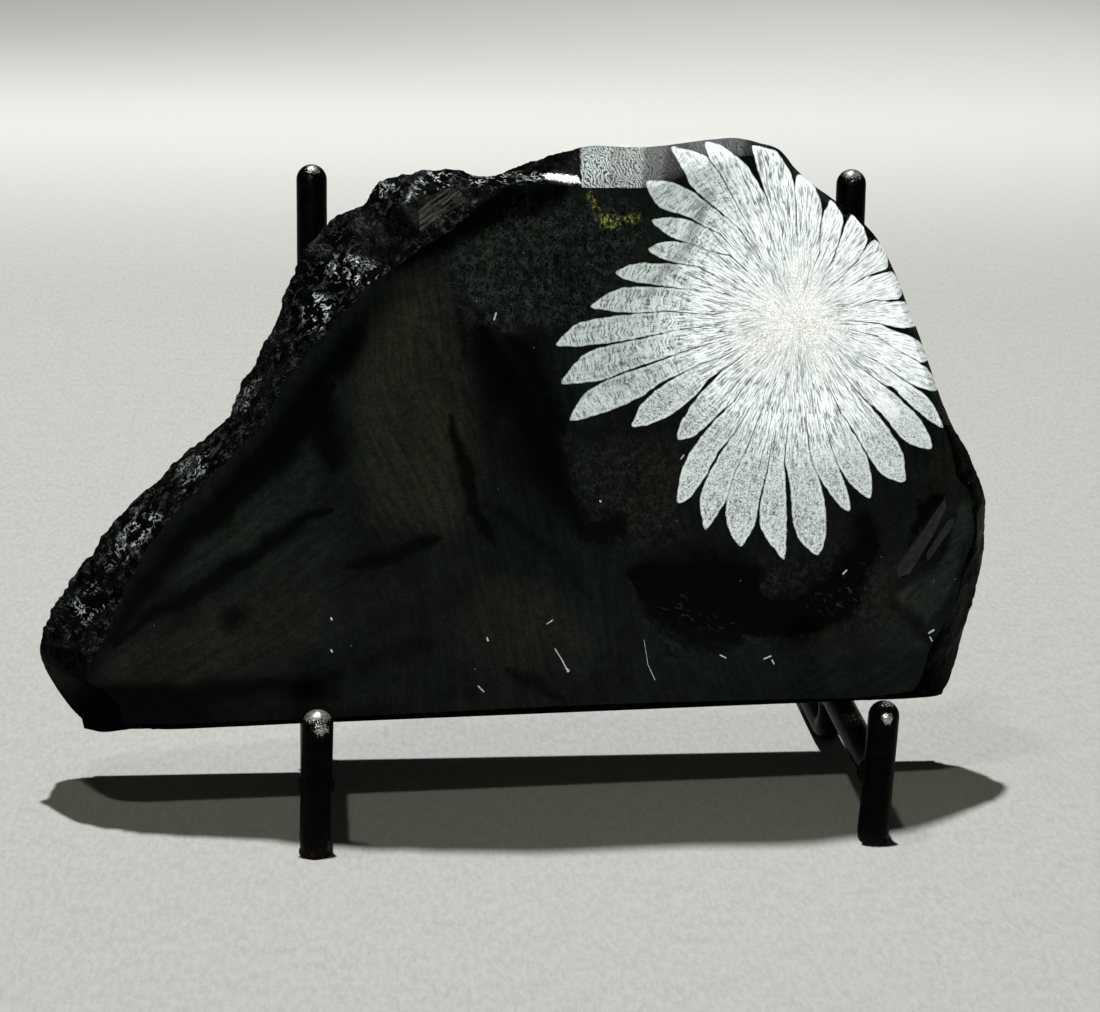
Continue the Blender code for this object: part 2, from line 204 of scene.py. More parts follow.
# ------------------------------------------------------------------ materials
class Graph:
    """Short hand for building a node material."""

    def __init__(self, name):
        self.mat = bpy.data.materials.new(name)
        self.mat.use_nodes = True
        self.tree = self.mat.node_tree
        self.bsdf = self.tree.nodes["Principled BSDF"]
        self.coord = self.tree.nodes.new("ShaderNodeTexCoord").outputs["Object"]
        m = self.node("ShaderNodeVectorMath", operation="SCALE")
        self.tree.links.new(self.coord, m.inputs[0])
        m.inputs["Scale"].default_value = 1000.0
        self.pos = m.outputs[0]            # object position in mm

    def node(self, kind, **props):
        n = self.tree.nodes.new(kind)
        for k, v in props.items():
            setattr(n, k, v)
        return n

    def put(self, socket, value):
        if isinstance(value, bpy.types.NodeSocket):
            self.tree.links.new(value, socket)
        elif isinstance(value, (tuple, list)) and len(value) == 3 and socket.type == "RGBA":
            socket.default_value = (*value, 1.0)
        else:
            socket.default_value = value

    def math(self, op, a, b=None, c=None, clamp=False):
        n = self.node("ShaderNodeMath", operation=op, use_clamp=clamp)
        self.put(n.inputs[0], a)
        if b is not None:
            self.put(n.inputs[1], b)
        if c is not None:
            self.put(n.inputs[2], c)
        return n.outputs[0]

    def add(self, a, b):
        return self.math("ADD", a, b)

    def mul(self, a, b):
        return self.math("MULTIPLY", a, b)

    def vec(self, op, a, b=None, scale=None):
        n = self.node("ShaderNodeVectorMath", operation=op)
        self.put(n.inputs[0], a)
        if b is not None:
            self.put(n.inputs[1], b)
        if scale is not None:
            self.put(n.inputs["Scale"], scale)
        return n.outputs["Value"] if op in ("LENGTH", "DOT_PRODUCT") else n.outputs[0]

    def stretch(self, v, scale, rot=(0, 0, 0)):
        n = self.node("ShaderNodeMapping")
        self.put(n.inputs["Vector"], v)
        n.inputs["Scale"].default_value = scale
        n.inputs["Rotation"].default_value = rot
        return n.outputs[0]

    def skewed(self, angle, along, across, deep=1.0):
        """Coordinates drawn out along a direction of the face."""
        ca, sa = math.cos(angle), math.sin(angle)
        c = self.node("ShaderNodeCombineXYZ")
        self.put(c.inputs[0], self.mul(self.vec("DOT_PRODUCT", self.pos, (ca, sa, 0)), along))
        self.put(c.inputs[1], self.mul(self.vec("DOT_PRODUCT", self.pos, (-sa, ca, 0)), across))
        self.put(c.inputs[2], self.mul(self.vec("DOT_PRODUCT", self.pos, (0, 0, 1)), deep))
        return c.outputs[0]

    def noise(self, v, scale, detail=2.0, rough=0.5, distort=0.0):
        n = self.node("ShaderNodeTexNoise")
        self.put(n.inputs["Vector"], v)
        n.inputs["Scale"].default_value = scale
        n.inputs["Detail"].default_value = detail
        n.inputs["Roughness"].default_value = rough
        n.inputs["Distortion"].default_value = distort
        return n.outputs["Fac"]

    def cells(self, v, scale, feature="F1", rand=1.0):
        n = self.node("ShaderNodeTexVoronoi", feature=feature)
        self.put(n.inputs["Vector"], v)
        n.inputs["Scale"].default_value = scale
        n.inputs["Randomness"].default_value = rand
        return n.outputs["Distance"], n

    def step(self, x, a, b, lo=0.0, hi=1.0, kind="SMOOTHSTEP"):
        n = self.node("ShaderNodeMapRange", interpolation_type=kind)
        self.put(n.inputs["Value"], x)
        n.inputs["From Min"].default_value = a
        n.inputs["From Max"].default_value = b
        n.inputs["To Min"].default_value = lo
        n.inputs["To Max"].default_value = hi
        return n.outputs["Result"]

    def attr(self, name):
        n = self.node("ShaderNodeAttribute", attribute_name=name)
        return n.outputs["Fac"]

    def mix(self, fac, a, b, blend="MIX"):
        n = self.node("ShaderNodeMix", data_type="RGBA", blend_type=blend)
        n.clamp_factor = True
        self.put(n.inputs[0], fac)
        self.put(n.inputs[6], a)
        self.put(n.inputs[7], b)
        return n.outputs[2]

    def lerp(self, fac, a, b):
        n = self.node("ShaderNodeMix", data_type="FLOAT")
        n.clamp_factor = True
        self.put(n.inputs[0], fac)
        self.put(n.inputs[2], a)
        self.put(n.inputs[3], b)
        return n.outputs[0]

    def bump(self, height, distance, strength=1.0, normal=None):
        n = self.node("ShaderNodeBump")
        n.inputs["Strength"].default_value = strength
        n.inputs["Distance"].default_value = distance * MM
        self.put(n.inputs["Height"], height)
        if normal is not None:
            self.put(n.inputs["Normal"], normal)
        return n.outputs[0]

    def out(self, **sockets):
        names = {"color": "Base Color", "rough": "Roughness", "metal": "Metallic",
                 "normal": "Normal", "ior": "IOR", "coat": "Coat Weight",
                 "coat_rough": "Coat Roughness", "sss": "Subsurface Weight"}
        for k, v in sockets.items():
            self.put(self.bsdf.inputs[names[k]], v)
        return self.mat


def polished_stone():
    g = Graph("polished_black_stone")
    p = g.pos
    u, v = g.vec("DOT_PRODUCT", p, (1, 0, 0)), g.vec("DOT_PRODUCT", p, (0, 1, 0))
    cloud = g.noise(p, 0.060, 4, 0.6, 1.0)
    cloud2 = g.noise(g.stretch(p, (1, 1, 1), (0, 0, 0.5)), 0.16, 5, 0.7, 1.6)
    skew = g.stretch(p, (1, 1, 1), (0.3, 0.2, 0.7))
    grain = g.noise(skew, 1.9, 3, 0.7, 0.6)
    grain2 = g.noise(skew, 0.55, 3, 0.65, 0.8)

    def brushed(angle, across, along, seed):
        """Drawn-out flow marks; they wander a little on their way."""
        ca, sa = math.cos(angle), math.sin(angle)
        wander = g.mul(g.noise(p, 0.022, 0.5), 16.0)
        c = g.node("ShaderNodeCombineXYZ")
        g.put(c.inputs[0], g.mul(g.add(g.add(g.mul(u, -sa), g.mul(v, ca)), wander), across))
        g.put(c.inputs[1], g.mul(g.add(g.mul(u, ca), g.mul(v, sa)), along))
        g.put(c.inputs[2], seed)
        return g.noise(c.outputs[0], 1.0, 4, 0.62)

    flow_up = brushed(1.80, 0.80, 0.050, 2.0)
    flow_side = brushed(0.60, 0.70, 0.045, 7.0)
    flow = g.lerp(g.attr("diag"), flow_up, flow_side)
    olive = g.mix(g.step(cloud, 0.40, 0.60), (0.0034, 0.0050, 0.0040), (0.0046, 0.0062, 0.0044))
    base = g.mix(g.mul(g.attr("teal"), g.step(cloud2, 0.38, 0.60)), olive, (0.0026, 0.0054, 0.0060))
    base = g.mix(g.mul(g.attr("brown"), g.step(cloud2, 0.25, 0.55, 0.45, 1.0)), base, (0.0062, 0.0060, 0.0040))
    tone = g.mul(g.attr("tone"), g.step(flow, 0.33, 0.67, 0.74, 1.26))
    tone = g.mul(tone, g.step(grain, 0.34, 0.66, 0.78, 1.26))
    tone = g.mul(tone, g.step(grain2, 0.34, 0.66, 0.80, 1.22))
    leather = g.noise(g.stretch(p, (1.0, 0.72, 1.0), (0, 0, 0.5)), 1.7, 3, 0.62, 1.1)
    tone = g.mul(tone, g.lerp(g.attr("leather"), 1.0, g.step(leather, 0.40, 0.62, 0.30, 1.5)))
    base = g.vec("SCALE", base, scale=tone)
    # painted glints: short light lines painted into the leathery part where its grain would catch the lamp
    crease_glint = g.step(g.math("ABSOLUTE", g.math("SUBTRACT", leather, 0.53)), 0.045, 0.012)
    crease_glint = g.mul(g.mul(crease_glint, g.step(g.noise(p, 0.5, 2, 0.6), 0.44, 0.60)), g.attr("leather"))
    base = g.mix(g.mul(crease_glint, 0.9), base, (0.031, 0.034, 0.031))
    # painted glints: silky wrinkles in the black hollows are painted as light lines where they would catch the lamp
    silk_glint = g.node("ShaderNodeCombineXYZ")
    g.put(silk_glint.inputs[0], g.mul(g.add(g.add(g.mul(u, 0.5), g.mul(v, 0.87)), g.mul(g.noise(p, 0.12, 2, 0.6), 7.0)), 1.5))
    g.put(silk_glint.inputs[1], g.mul(g.add(g.mul(u, 0.87), g.mul(v, -0.5)), 0.40))
    silky = g.noise(silk_glint.outputs[0], 1.0, 3, 0.65, 0.5)
    # short curved scratches that stand upright
    scr = brushed(1.75, 2.0, 0.09, 4.0)
    scratch = g.mul(g.mul(g.step(scr, 0.62, 0.76), g.step(cloud2, 0.45, 0.62)), g.attr("scratch"))
    base = g.mix(g.mul(scratch, 0.35), base, (0.018, 0.017, 0.013))
    # darker veins with feathered borders
    feather = g.add(g.mul(g.math("SUBTRACT", flow, 0.5), 0.75), g.mul(g.math("SUBTRACT", cloud2, 0.5), 0.9))
    vein = g.step(g.add(g.attr("streak"), feather), 0.10, 0.98)
    base = g.mix(g.mul(g.mul(vein, g.step(g.attr("streak"), 0.0, 0.35)), 0.94), base, (0.0002, 0.0002, 0.0003))
    hollow = g.step(g.add(g.attr("hollow"), g.mul(feather, 0.5)), 0.30, 0.62)
    base = g.mix(hollow, base, (0.0001, 0.0001, 0.0001))
    # painted glints on the shining wrinkles of the hollows
    painted_silk_glint = g.mul(g.step(silky, 0.57, 0.70), g.attr("silk_glint"))
    base = g.mix(g.mul(painted_silk_glint, 0.9), base, (0.030, 0.034, 0.032))
    # specks
    d, vor = g.cells(p, 0.42)
    pick = g.step(g.vec("DOT_PRODUCT", vor.outputs["Color"], (1, 0, 0)), 0.93, 0.94)
    speck = g.mul(g.step(d, 0.075, 0.03), pick)
    base = g.mix(g.mul(speck, 0.7), base, (0.16, 0.17, 0.16))
    d2, _ = g.cells(p, 1.1)
    thread = g.noise(p, 0.75, 3, 0.6, 0.5)
    thread = g.step(g.math("ABSOLUTE", g.math("SUBTRACT", thread, 0.5)), 0.040, 0.012)
    spike = g.noise(g.stretch(p, (2.6, 0.9, 1.0), (0, 0, -0.5)), 1.0, 2, 0.6, 0.8)
    gold = g.mul(g.math("MAXIMUM", g.mul(thread, 0.8), g.step(spike, 0.56, 0.66)), g.step(d2, 0.8, 0.35))
    base = g.mix(g.mul(gold, g.attr("gold")), base, (0.26, 0.26, 0.045))
    peel = g.add(g.noise(p, 0.9, 2), g.mul(g.noise(p, 0.25, 2), 0.8))
    height = g.add(peel, g.mul(g.mul(leather, g.attr("leather")), 0.6))
    rough = g.step(cloud2, 0.3, 0.7, 0.14, 0.22)
    return g.out(color=base, rough=rough, ior=1.13, normal=g.bump(height, 0.012, 0.6))


def facet_stone():
    """Flat chips beside the polish, with drawn-out scores."""
    g = Graph("grey_facet_stone")
    p = g.pos
    lines = g.noise(g.skewed(0.99, 0.13, 1.6), 1.0, 3, 0.65, 0.3)
    n = g.noise(p, 0.7, 4, 0.65)
    base = g.mix(g.step(n, 0.3, 0.7), (0.0085, 0.0098, 0.0090), (0.0150, 0.0168, 0.0155))
    base = g.mix(g.mul(g.step(lines, 0.52, 0.68), 0.45), base, (0.0045, 0.0053, 0.0050))
    return g.out(color=base, rough=g.step(n, 0.35, 0.65, 0.32, 0.42), ior=1.15,
                 normal=g.bump(g.add(lines, n), 0.03, 0.5))


def broken_stone(name, tint, rough_lo, rough_hi, dust, hatch=0.0, angle=0.0, ior=1.5, dusty=(0.05, 0.052, 0.048),
                 glint=(0.30, 0.32, 0.31)):
    g = Graph(name)
    p = g.pos
    n1 = g.noise(p, 0.35, 6, 0.62, 0.8)
    n2 = g.noise(p, 2.4, 4, 0.6)
    base = g.mix(g.step(n1, 0.40, 0.66), tuple(c * 0.12 for c in tint), tint)
    base = g.mix(g.mul(g.step(n2, 0.56, 0.70), dust), base, dusty)
    # painted glints: crisp light fold lines, painted where the skin would throw the lamp's light back
    fold = g.noise(g.skewed(-0.45, 0.30, 1.05, 0.5), 1.0, 1, 0.4, 0.9)
    fold2 = g.noise(g.skewed(0.75, 0.36, 1.25, 0.6), 1.0, 1, 0.4, 0.9)
    c1 = g.step(g.math("ABSOLUTE", g.math("SUBTRACT", fold, 0.52)), 0.050, 0.026)
    c2 = g.step(g.math("ABSOLUTE", g.math("SUBTRACT", fold2, 0.53)), 0.050, 0.026)
    patch = g.step(g.noise(p, 0.42, 2, 0.5), 0.52, 0.58)
    patch2 = g.step(g.noise(g.stretch(p, (1, 1, 1), (0.5, 0.9, 0.2)), 0.50, 2, 0.5), 0.54, 0.60)
    # painted glints along the ridges of the flake scars
    ridge_glint = g.mul(g.step(g.attr("ridge"), 0.25, 0.8), g.step(n2, 0.47, 0.60))
    crisp = g.math("MAXIMUM", g.math("MAXIMUM", g.mul(c1, patch), g.mul(c2, patch2)), g.mul(ridge_glint, 0.22))
    crisp = g.mul(crisp, g.attr("glint"))
    base = g.mix(crisp, base, glint)
    # painted highlight: the gleam along the top edge is painted near white
    glare = g.step(g.add(g.attr("gleam_highlight"), g.mul(g.math("SUBTRACT", n2, 0.5), 1.6)), 0.42, 0.72)
    base = g.mix(g.mul(glare, g.step(g.attr("gleam_highlight"), 0.02, 0.2)), base,
                 g.mix(g.step(n1, 0.35, 0.6), (0.30, 0.33, 0.32), (0.95, 0.97, 0.96)))
    wrinkle = g.noise(g.stretch(p, (1.0, 1.0, 0.5), (0, 0, 0.7)), 1.1, 3, 0.55, 1.4)
    height = g.add(g.mul(n1, 1.3), g.add(g.mul(n2, 0.30), g.mul(wrinkle, 1.3)))
    if hatch:
        lines = g.noise(g.skewed(angle, 0.16, 2.2, 0.2), 1.0, 3, 0.7)
        base = g.mix(g.mul(g.step(lines, 0.48, 0.66), hatch), base, tuple(c * 3.5 for c in tint))
        height = g.add(height, g.mul(lines, 0.5))
    rough = g.step(n2, 0.35, 0.65, rough_lo, rough_hi)
    return g.out(color=base, rough=rough, ior=ior, normal=g.bump(height, 0.22, 0.9))


def bevel_stone():
    """Ground, unpolished margin; its wavy tool lines run up and down."""
    g = Graph("ground_bevel_stone")
    p = g.pos
    u, v = g.vec("DOT_PRODUCT", p, (1, 0, 0)), g.vec("DOT_PRODUCT", p, (0, 1, 0))
    sway = g.noise(p, 0.20, 3, 0.6, 0.8)
    small = g.noise(p, 1.1, 2, 0.6, 0.6)
    wave = g.add(g.mul(u, 1.45), g.add(g.mul(v, 0.45), g.add(g.mul(sway, 7.0), g.mul(small, 2.0))))
    wave = g.math("SINE", g.mul(wave, 6.2832))
    fine = g.noise(p, 3.6, 3, 0.65, 0.8)
    line = g.step(g.add(wave, g.mul(g.math("SUBTRACT", fine, 0.5), 4.0)), -0.85, 0.65)
    # painted highlight: where the ground bevel is painted near white, as if it caught the lamp
    bevel_highlight = g.attr("bevel_highlight")
    gloom = g.step(g.noise(p, 0.35, 3, 0.6), 0.38, 0.62)
    dark = g.mix(g.mul(line, g.lerp(gloom, 0.35, 1.0)), (0.0012, 0.0016, 0.0014), (0.020, 0.023, 0.022))
    lit = g.mix(line, (0.020, 0.026, 0.026), (0.56, 0.61, 0.60))
    base = g.mix(bevel_highlight, dark, lit)
    d2, vor2 = g.cells(p, 0.8)
    gold = g.mul(g.mul(g.step(d2, 0.42, 0.25), g.step(fine, 0.45, 0.6)), g.attr("gold"))
    base = g.mix(gold, base, (0.42, 0.30, 0.10))
    return g.out(color=base, rough=g.step(fine, 0.4, 0.6, 0.50, 0.40), ior=1.15,
                 normal=g.bump(g.add(line, fine), 0.04, 0.6))


def flower_material(centre):
    """Fibrous white mineral that radiates from one point."""
    g = Graph("white_flower_mineral")
    p = g.pos
    q = g.vec("SUBTRACT", p, (centre[0], centre[1], 0.0))
    q = g.vec("MULTIPLY", q, (1.0, 1.0, 0.0))
    wob = g.node("ShaderNodeTexNoise")
    g.put(wob.inputs["Vector"], p)
    wob.inputs["Scale"].default_value = 0.11
    wob.inputs["Detail"].default_value = 3.0
    shake = g.vec("SCALE", g.vec("SUBTRACT", wob.outputs["Color"], (0.5, 0.5, 0.5)), scale=1.9)
    q2 = g.vec("ADD", q, g.vec("MULTIPLY", shake, (1, 1, 0)))
    r = g.vec("LENGTH", q2)
    n = g.node("ShaderNodeVectorMath", operation="NORMALIZE")
    g.put(n.inputs[0], q2)
    way = n.outputs[0]
    qx, qy = g.vec("DOT_PRODUCT", q2, (1, 0, 0)), g.vec("DOT_PRODUCT", q2, (0, 1, 0))
    turn = g.math("ARCTAN2", qy, g.mul(qx, -1.0))

    def polar(count, along, shift=0.0):
        c = g.node("ShaderNodeCombineXYZ")
        g.put(c.inputs[0], g.mul(turn, count))
        g.put(c.inputs[1], g.add(g.mul(r, along), shift))
        return c.outputs[0]

    def flat_noise(vector, scale, detail=2.0, rough=0.6, distort=0.0):
        m = g.node("ShaderNodeTexNoise", noise_dimensions="2D")
        g.put(m.inputs["Vector"], vector)
        m.inputs["Scale"].default_value = scale
        m.inputs["Detail"].default_value = detail
        m.inputs["Roughness"].default_value = rough
        m.inputs["Distortion"].default_value = distort
        return m.outputs["Fac"]

    def threads(vector, scale, wide, distort=0.35):
        """Fine winding threads: 0 on a thread, 1 beside it."""
        m = flat_noise(vector, scale, 2, 0.55, distort)
        return g.step(g.math("ABSOLUTE", g.math("SUBTRACT", m, 0.5)), 0.0, wide)

    def crisp(value):
        return g.step(value, 0.36, 0.64)

    f1 = flat_noise(polar(22.0, 0.10), 1.0, 2, 0.6)
    f2 = flat_noise(polar(52.0, 0.24, 9.0), 1.0, 2, 0.65)
    f3 = flat_noise(polar(98.0, 0.52, 3.0), 1.0, 2, 0.6)
    n1 = threads(polar(29.0, 0.12), 1.0, 0.075)
    n2 = threads(polar(62.0, 0.26, 5.0), 1.0, 0.090)
    lobes = flat_noise(polar(2.6, 0.03, 4.0), 1.0, 2, 0.6)
    grit = g.noise(p, 1.9, 3, 0.65, 0.9)
    grit2 = g.noise(p, 3.1, 2, 0.6, 0.5)
    far = g.step(r, 14.0, 34.0)
    uneven = g.add(r, g.mul(g.math("SUBTRACT", f1, 0.5), 20.0))
    uneven = g.add(uneven, g.mul(g.math("SUBTRACT", lobes, 0.5), 26.0))
    core = g.step(g.add(uneven, g.mul(g.math("SUBTRACT", f1, 0.5), 14.0)), 16.0, 0.0)
    fibre = g.add(g.add(g.mul(n1, 0.30), g.mul(n2, 0.22)), g.add(g.mul(crisp(f2), 0.24), g.mul(crisp(f3), 0.24)))
    granular = g.add(g.mul(threads(p, 1.5, 0.07), 0.26), g.add(g.mul(crisp(grit), 0.34), g.mul(crisp(grit2), 0.40)))
    fibre = g.lerp(g.mul(core, 0.68), fibre, granular)
    # transverse hatching in the outer parts on the left, a fine net below
    side = g.vec("DOT_PRODUCT", way, (-1.0, 0.0, 0.0))
    down = g.vec("DOT_PRODUCT", way, (0.0, -1.0, 0.0))
    left = g.mul(g.step(side, 0.25, 0.75), g.step(r, 18.0, 31.0))
    rung_v = g.node("ShaderNodeCombineXYZ")
    g.put(rung_v.inputs[0], g.mul(g.add(r, g.mul(f1, 1.8)), 1.25))
    g.put(rung_v.inputs[1], g.mul(qy, 0.20))
    rungs = g.add(g.mul(threads(rung_v.outputs[0], 1.0, 0.085), 0.50),
                  g.mul(crisp(flat_noise(rung_v.outputs[0], 2.1, 2, 0.6, 0.3)), 0.50))
    low_net = g.add(g.mul(threads(p, 1.25, 0.080, 0.9), 0.46),
                    g.add(g.mul(crisp(grit), 0.24), g.mul(crisp(grit2), 0.30)))
    spots = g.noise(p, 3.0, 3, 0.7)
    tone = g.lerp(g.mul(left, 0.62), fibre, rungs)
    tone = g.lerp(g.mul(g.mul(g.step(down, 0.15, 0.65), g.step(r, 20.0, 36.0)), 0.72), tone, low_net)
    # some bundles are greyer than others
    tone = g.add(tone, g.mul(g.math("SUBTRACT", g.noise(p, 0.14, 2, 0.6), 0.5), 0.22))
    contrast = g.step(tone, 0.20, 0.86)
    inner = g.step(uneven, 3.0, 14.0)
    right_w = g.mul(g.mul(g.step(side, 0.1, -0.5), g.step(r, 8, 20)), g.step(down, 0.25, 0.75, 1.0, 0.35))
    white = g.mix(g.step(uneven, 2.0, 17.0), (1.0, 1.0, 0.945), (0.93, 0.975, 0.95))
    white = g.mix(right_w, white, (0.98, 1.0, 1.0))
    white = g.mix(g.mul(g.step(side, 0.1, 0.7), g.step(r, 17, 38)), white, (0.46, 0.51, 0.49))
    white = g.mix(g.mul(g.step(down, 0.2, 0.7), g.step(r, 20, 36)), white, (0.62, 0.67, 0.645))
    dark = g.mix(inner, (0.12, 0.115, 0.09), (0.050, 0.060, 0.057))
    dark = g.mix(left, dark, (0.065, 0.075, 0.072))
    dark = g.mix(g.mul(right_w, g.step(r, 24, 40, 0.9, 0.5)), dark, (0.38, 0.43, 0.43))
    dark = g.mix(g.mul(g.step(down, -0.2, -0.8), 0.7), dark, (0.15, 0.17, 0.165))
    base = g.mix(g.mul(g.math("SUBTRACT", 1.0, contrast), g.lerp(inner, 0.75, 1.0)), white, dark)
    # stipple near the centre
    st = g.noise(p, 5.0, 2, 0.6)
    base = g.mix(g.mul(g.step(st, 0.58, 0.68), g.lerp(far, 0.72, 0.22)), base, (0.15, 0.155, 0.14))
    # a petal's margin is a clear line, and the dark stone shows right beside it
    edge = g.attr("margin")
    rim = g.mul(g.step(edge, 0.08, 0.20), g.step(edge, 0.42, 0.26))
    base = g.mix(g.mul(rim, g.mul(far, 0.45)), base, white)
    base = g.mix(g.step(edge, 0.12, 0.0, 0.0, 0.55), base, (0.06, 0.07, 0.068))
    base = g.mix(g.attr("smudge"), base, (0.055, 0.06, 0.055))
    base = g.mix(g.attr("milk"), base, (0.88, 0.89, 0.88))
    height = g.add(fibre, g.mul(spots, 0.4))
    return g.out(color=base, rough=g.step(tone, 0.35, 0.65, 0.52, 0.42), ior=1.25,
                 normal=g.bump(height, 0.03, 0.5))


def seam_material():
    g = Graph("dark_seam_in_flower")
    n = g.noise(g.pos, 2.2, 3, 0.6)
    base = g.mix(g.step(n, 0.35, 0.65), (0.020, 0.022, 0.021), (0.11, 0.12, 0.115))
    return g.out(color=base, rough=0.3, ior=1.36, normal=g.bump(n, 0.03, 0.5))


def nick_material():
    """Small bruises in the polish, where the stone shows white."""
    g = Graph("white_nick")
    n = g.noise(g.pos, 4.0, 3, 0.6)
    base = g.mix(g.step(n, 0.35, 0.65), (0.16, 0.165, 0.155), (0.52, 0.53, 0.50))
    return g.out(color=base, rough=0.5, ior=1.3, normal=g.bump(n, 0.03, 0.5))


def sawn_stone():
    g = Graph("sawn_stone_back")
    p = g.pos
    marks = g.noise(g.stretch(p, (0.05, 1.5, 0.05), (0, 0, 0.12)), 1.0, 4, 0.65)
    n = g.noise(p, 0.2, 5, 0.6, 0.5)
    fine = g.noise(p, 3.5, 3, 0.6)
    base = g.mix(g.step(n, 0.35, 0.65), (0.016, 0.018, 0.017), (0.045, 0.048, 0.044))
    base = g.mix(g.mul(g.step(marks, 0.5, 0.62), 0.45), base, (0.085, 0.09, 0.085))
    base = g.mix(g.mul(g.step(fine, 0.56, 0.68), 0.4), base, (0.12, 0.125, 0.12))
    return g.out(color=base, rough=g.step(n, 0.35, 0.65, 0.5, 0.66),
                 normal=g.bump(g.add(marks, g.mul(fine, 0.4)), 0.10, 0.7))


def rod_paint():
    g = Graph("worn_black_paint")
    p = g.pos
    n1 = g.noise(p, 0.5, 4, 0.6)
    n2 = g.noise(p, 3.2, 4, 0.65, 0.7)
    crack, _ = g.cells(g.vec("ADD", p, g.vec("SCALE", p, scale=0.0)), 1.5, "DISTANCE_TO_EDGE")
    # worn paint showing bare steel; on the right front post's dome one spot is a painted highlight
    wear_and_highlight = g.attr("wear_and_highlight")
    chip = g.step(g.add(wear_and_highlight, g.mul(g.math("SUBTRACT", n2, 0.5), 2.1)), 0.48, 0.62)
    chip = g.mul(chip, g.step(crack, 0.01, 0.06, 0.25, 1.0))
    paint = g.mix(g.step(n1, 0.35, 0.65), (0.0004, 0.0004, 0.0005), (0.0011, 0.0011, 0.0010))
    paint = g.mix(g.mul(g.step(n2, 0.60, 0.72), 0.35), paint, (0.0080, 0.0078, 0.0068))
    paint = g.mix(g.mul(g.mul(g.attr("rust"), 0.6), g.step(n2, 0.42, 0.58)), paint, (0.016, 0.010, 0.006))
    steel = g.mix(g.step(n2, 0.42, 0.64), (0.15, 0.148, 0.13), (0.60, 0.61, 0.57))
    base = g.mix(chip, paint, steel)
    rough = g.lerp(chip, g.step(n1, 0.3, 0.7, 0.26, 0.38), 0.36)
    height = g.add(g.mul(n1, 1.2), g.mul(n2, 0.35))
    return g.out(color=base, rough=rough, metal=g.mul(chip, 0.85), ior=1.07,
                 normal=g.bump(height, 0.05, 0.7))


def floor_material():
    g = Graph("pale_floor")
    p = g.pos
    y = g.vec("DOT_PRODUCT", p, (0, 1, 0))
    x = g.vec("DOT_PRODUCT", p, (1, 0, 0))
    n = g.noise(g.stretch(p, (1.0, 0.42, 1.0)), 0.85, 4, 0.74)
    n2 = g.noise(p, 0.012, 3, 0.5)
    n3 = g.noise(g.stretch(p, (1.0, 0.5, 1.0)), 2.0, 2, 0.6)
    n4 = g.noise(p, 0.16, 4, 0.65)
    col = g.mix(g.step(n, 0.32, 0.68), (0.470, 0.478, 0.461), (0.585, 0.591, 0.575))
    col = g.mix(g.mul(g.step(n4, 0.35, 0.65), 0.30), col, (0.60, 0.605, 0.595))
    col = g.mix(g.mul(g.step(n3, 0.60, 0.72), 0.22), col, (0.40, 0.40, 0.385))
    col = g.mix(g.mul(g.step(n3, 0.40, 0.30), 0.18), col, (0.64, 0.645, 0.63))
    col = g.mix(g.mul(n2, 0.2), col, (0.52, 0.53, 0.525))
    # painted light and shade: the sheet is painted darker well in front of the object, lighter behind it, and far
    # behind it the lighter paint fades towards the left
    col = g.mix(g.step(y, -230, -620), col, (0.400, 0.405, 0.392))
    col = g.mix(g.step(y, 380, 900, 0, 1), col, (0.93, 0.935, 0.925))
    far_light_and_shade = g.mix(g.step(x, -300, 600), (0.63, 0.635, 0.625), (0.95, 0.955, 0.945))
    col = g.mix(g.step(y, 700, 1250, 0, 1), col, far_light_and_shade)
    return g.out(color=col, rough=0.78, ior=1.3, normal=g.bump(n, 0.05, 0.3))


def finish_mesh(name, verts, faces, mats, face_mats=None, sharp=35.0, matrix=None,
                attrs=None, extra_sharp=None):
    mesh = bpy.data.meshes.new(name)
    mesh.from_pydata([tuple(float(c) for c in v) for v in verts], [], faces)
    for m in mats:
        mesh.materials.append(m)
    if face_mats is not None:
        mesh.polygons.foreach_set("material_index", np.asarray(face_mats, np.int32))
    mesh.update()
    mesh.shade_smooth()
    mesh.set_sharp_from_angle(angle=math.radians(sharp))
    if extra_sharp is not None:
        mask = np.zeros(len(mesh.vertices), bool)
        mask[list(extra_sharp)] = True
        ends = np.empty(len(mesh.edges) * 2, np.int32)
        mesh.edges.foreach_get("vertices", ends)
        ends = ends.reshape(-1, 2)
        flag = np.empty(len(mesh.edges), bool)
        mesh.edges.foreach_get("use_edge_sharp", flag)
        flag |= mask[ends[:, 0]] & mask[ends[:, 1]]
        mesh.edges.foreach_set("use_edge_sharp", flag)
    for key, values in (attrs or {}).items():
        a = mesh.attributes.new(key, "FLOAT", "POINT")
        a.data.foreach_set("value", np.asarray(values, np.float32))
    obj = bpy.data.objects.new(name, mesh)
    bpy.context.scene.collection.objects.link(obj)
    if matrix is not None:
        obj.matrix_world = matrix
    return obj


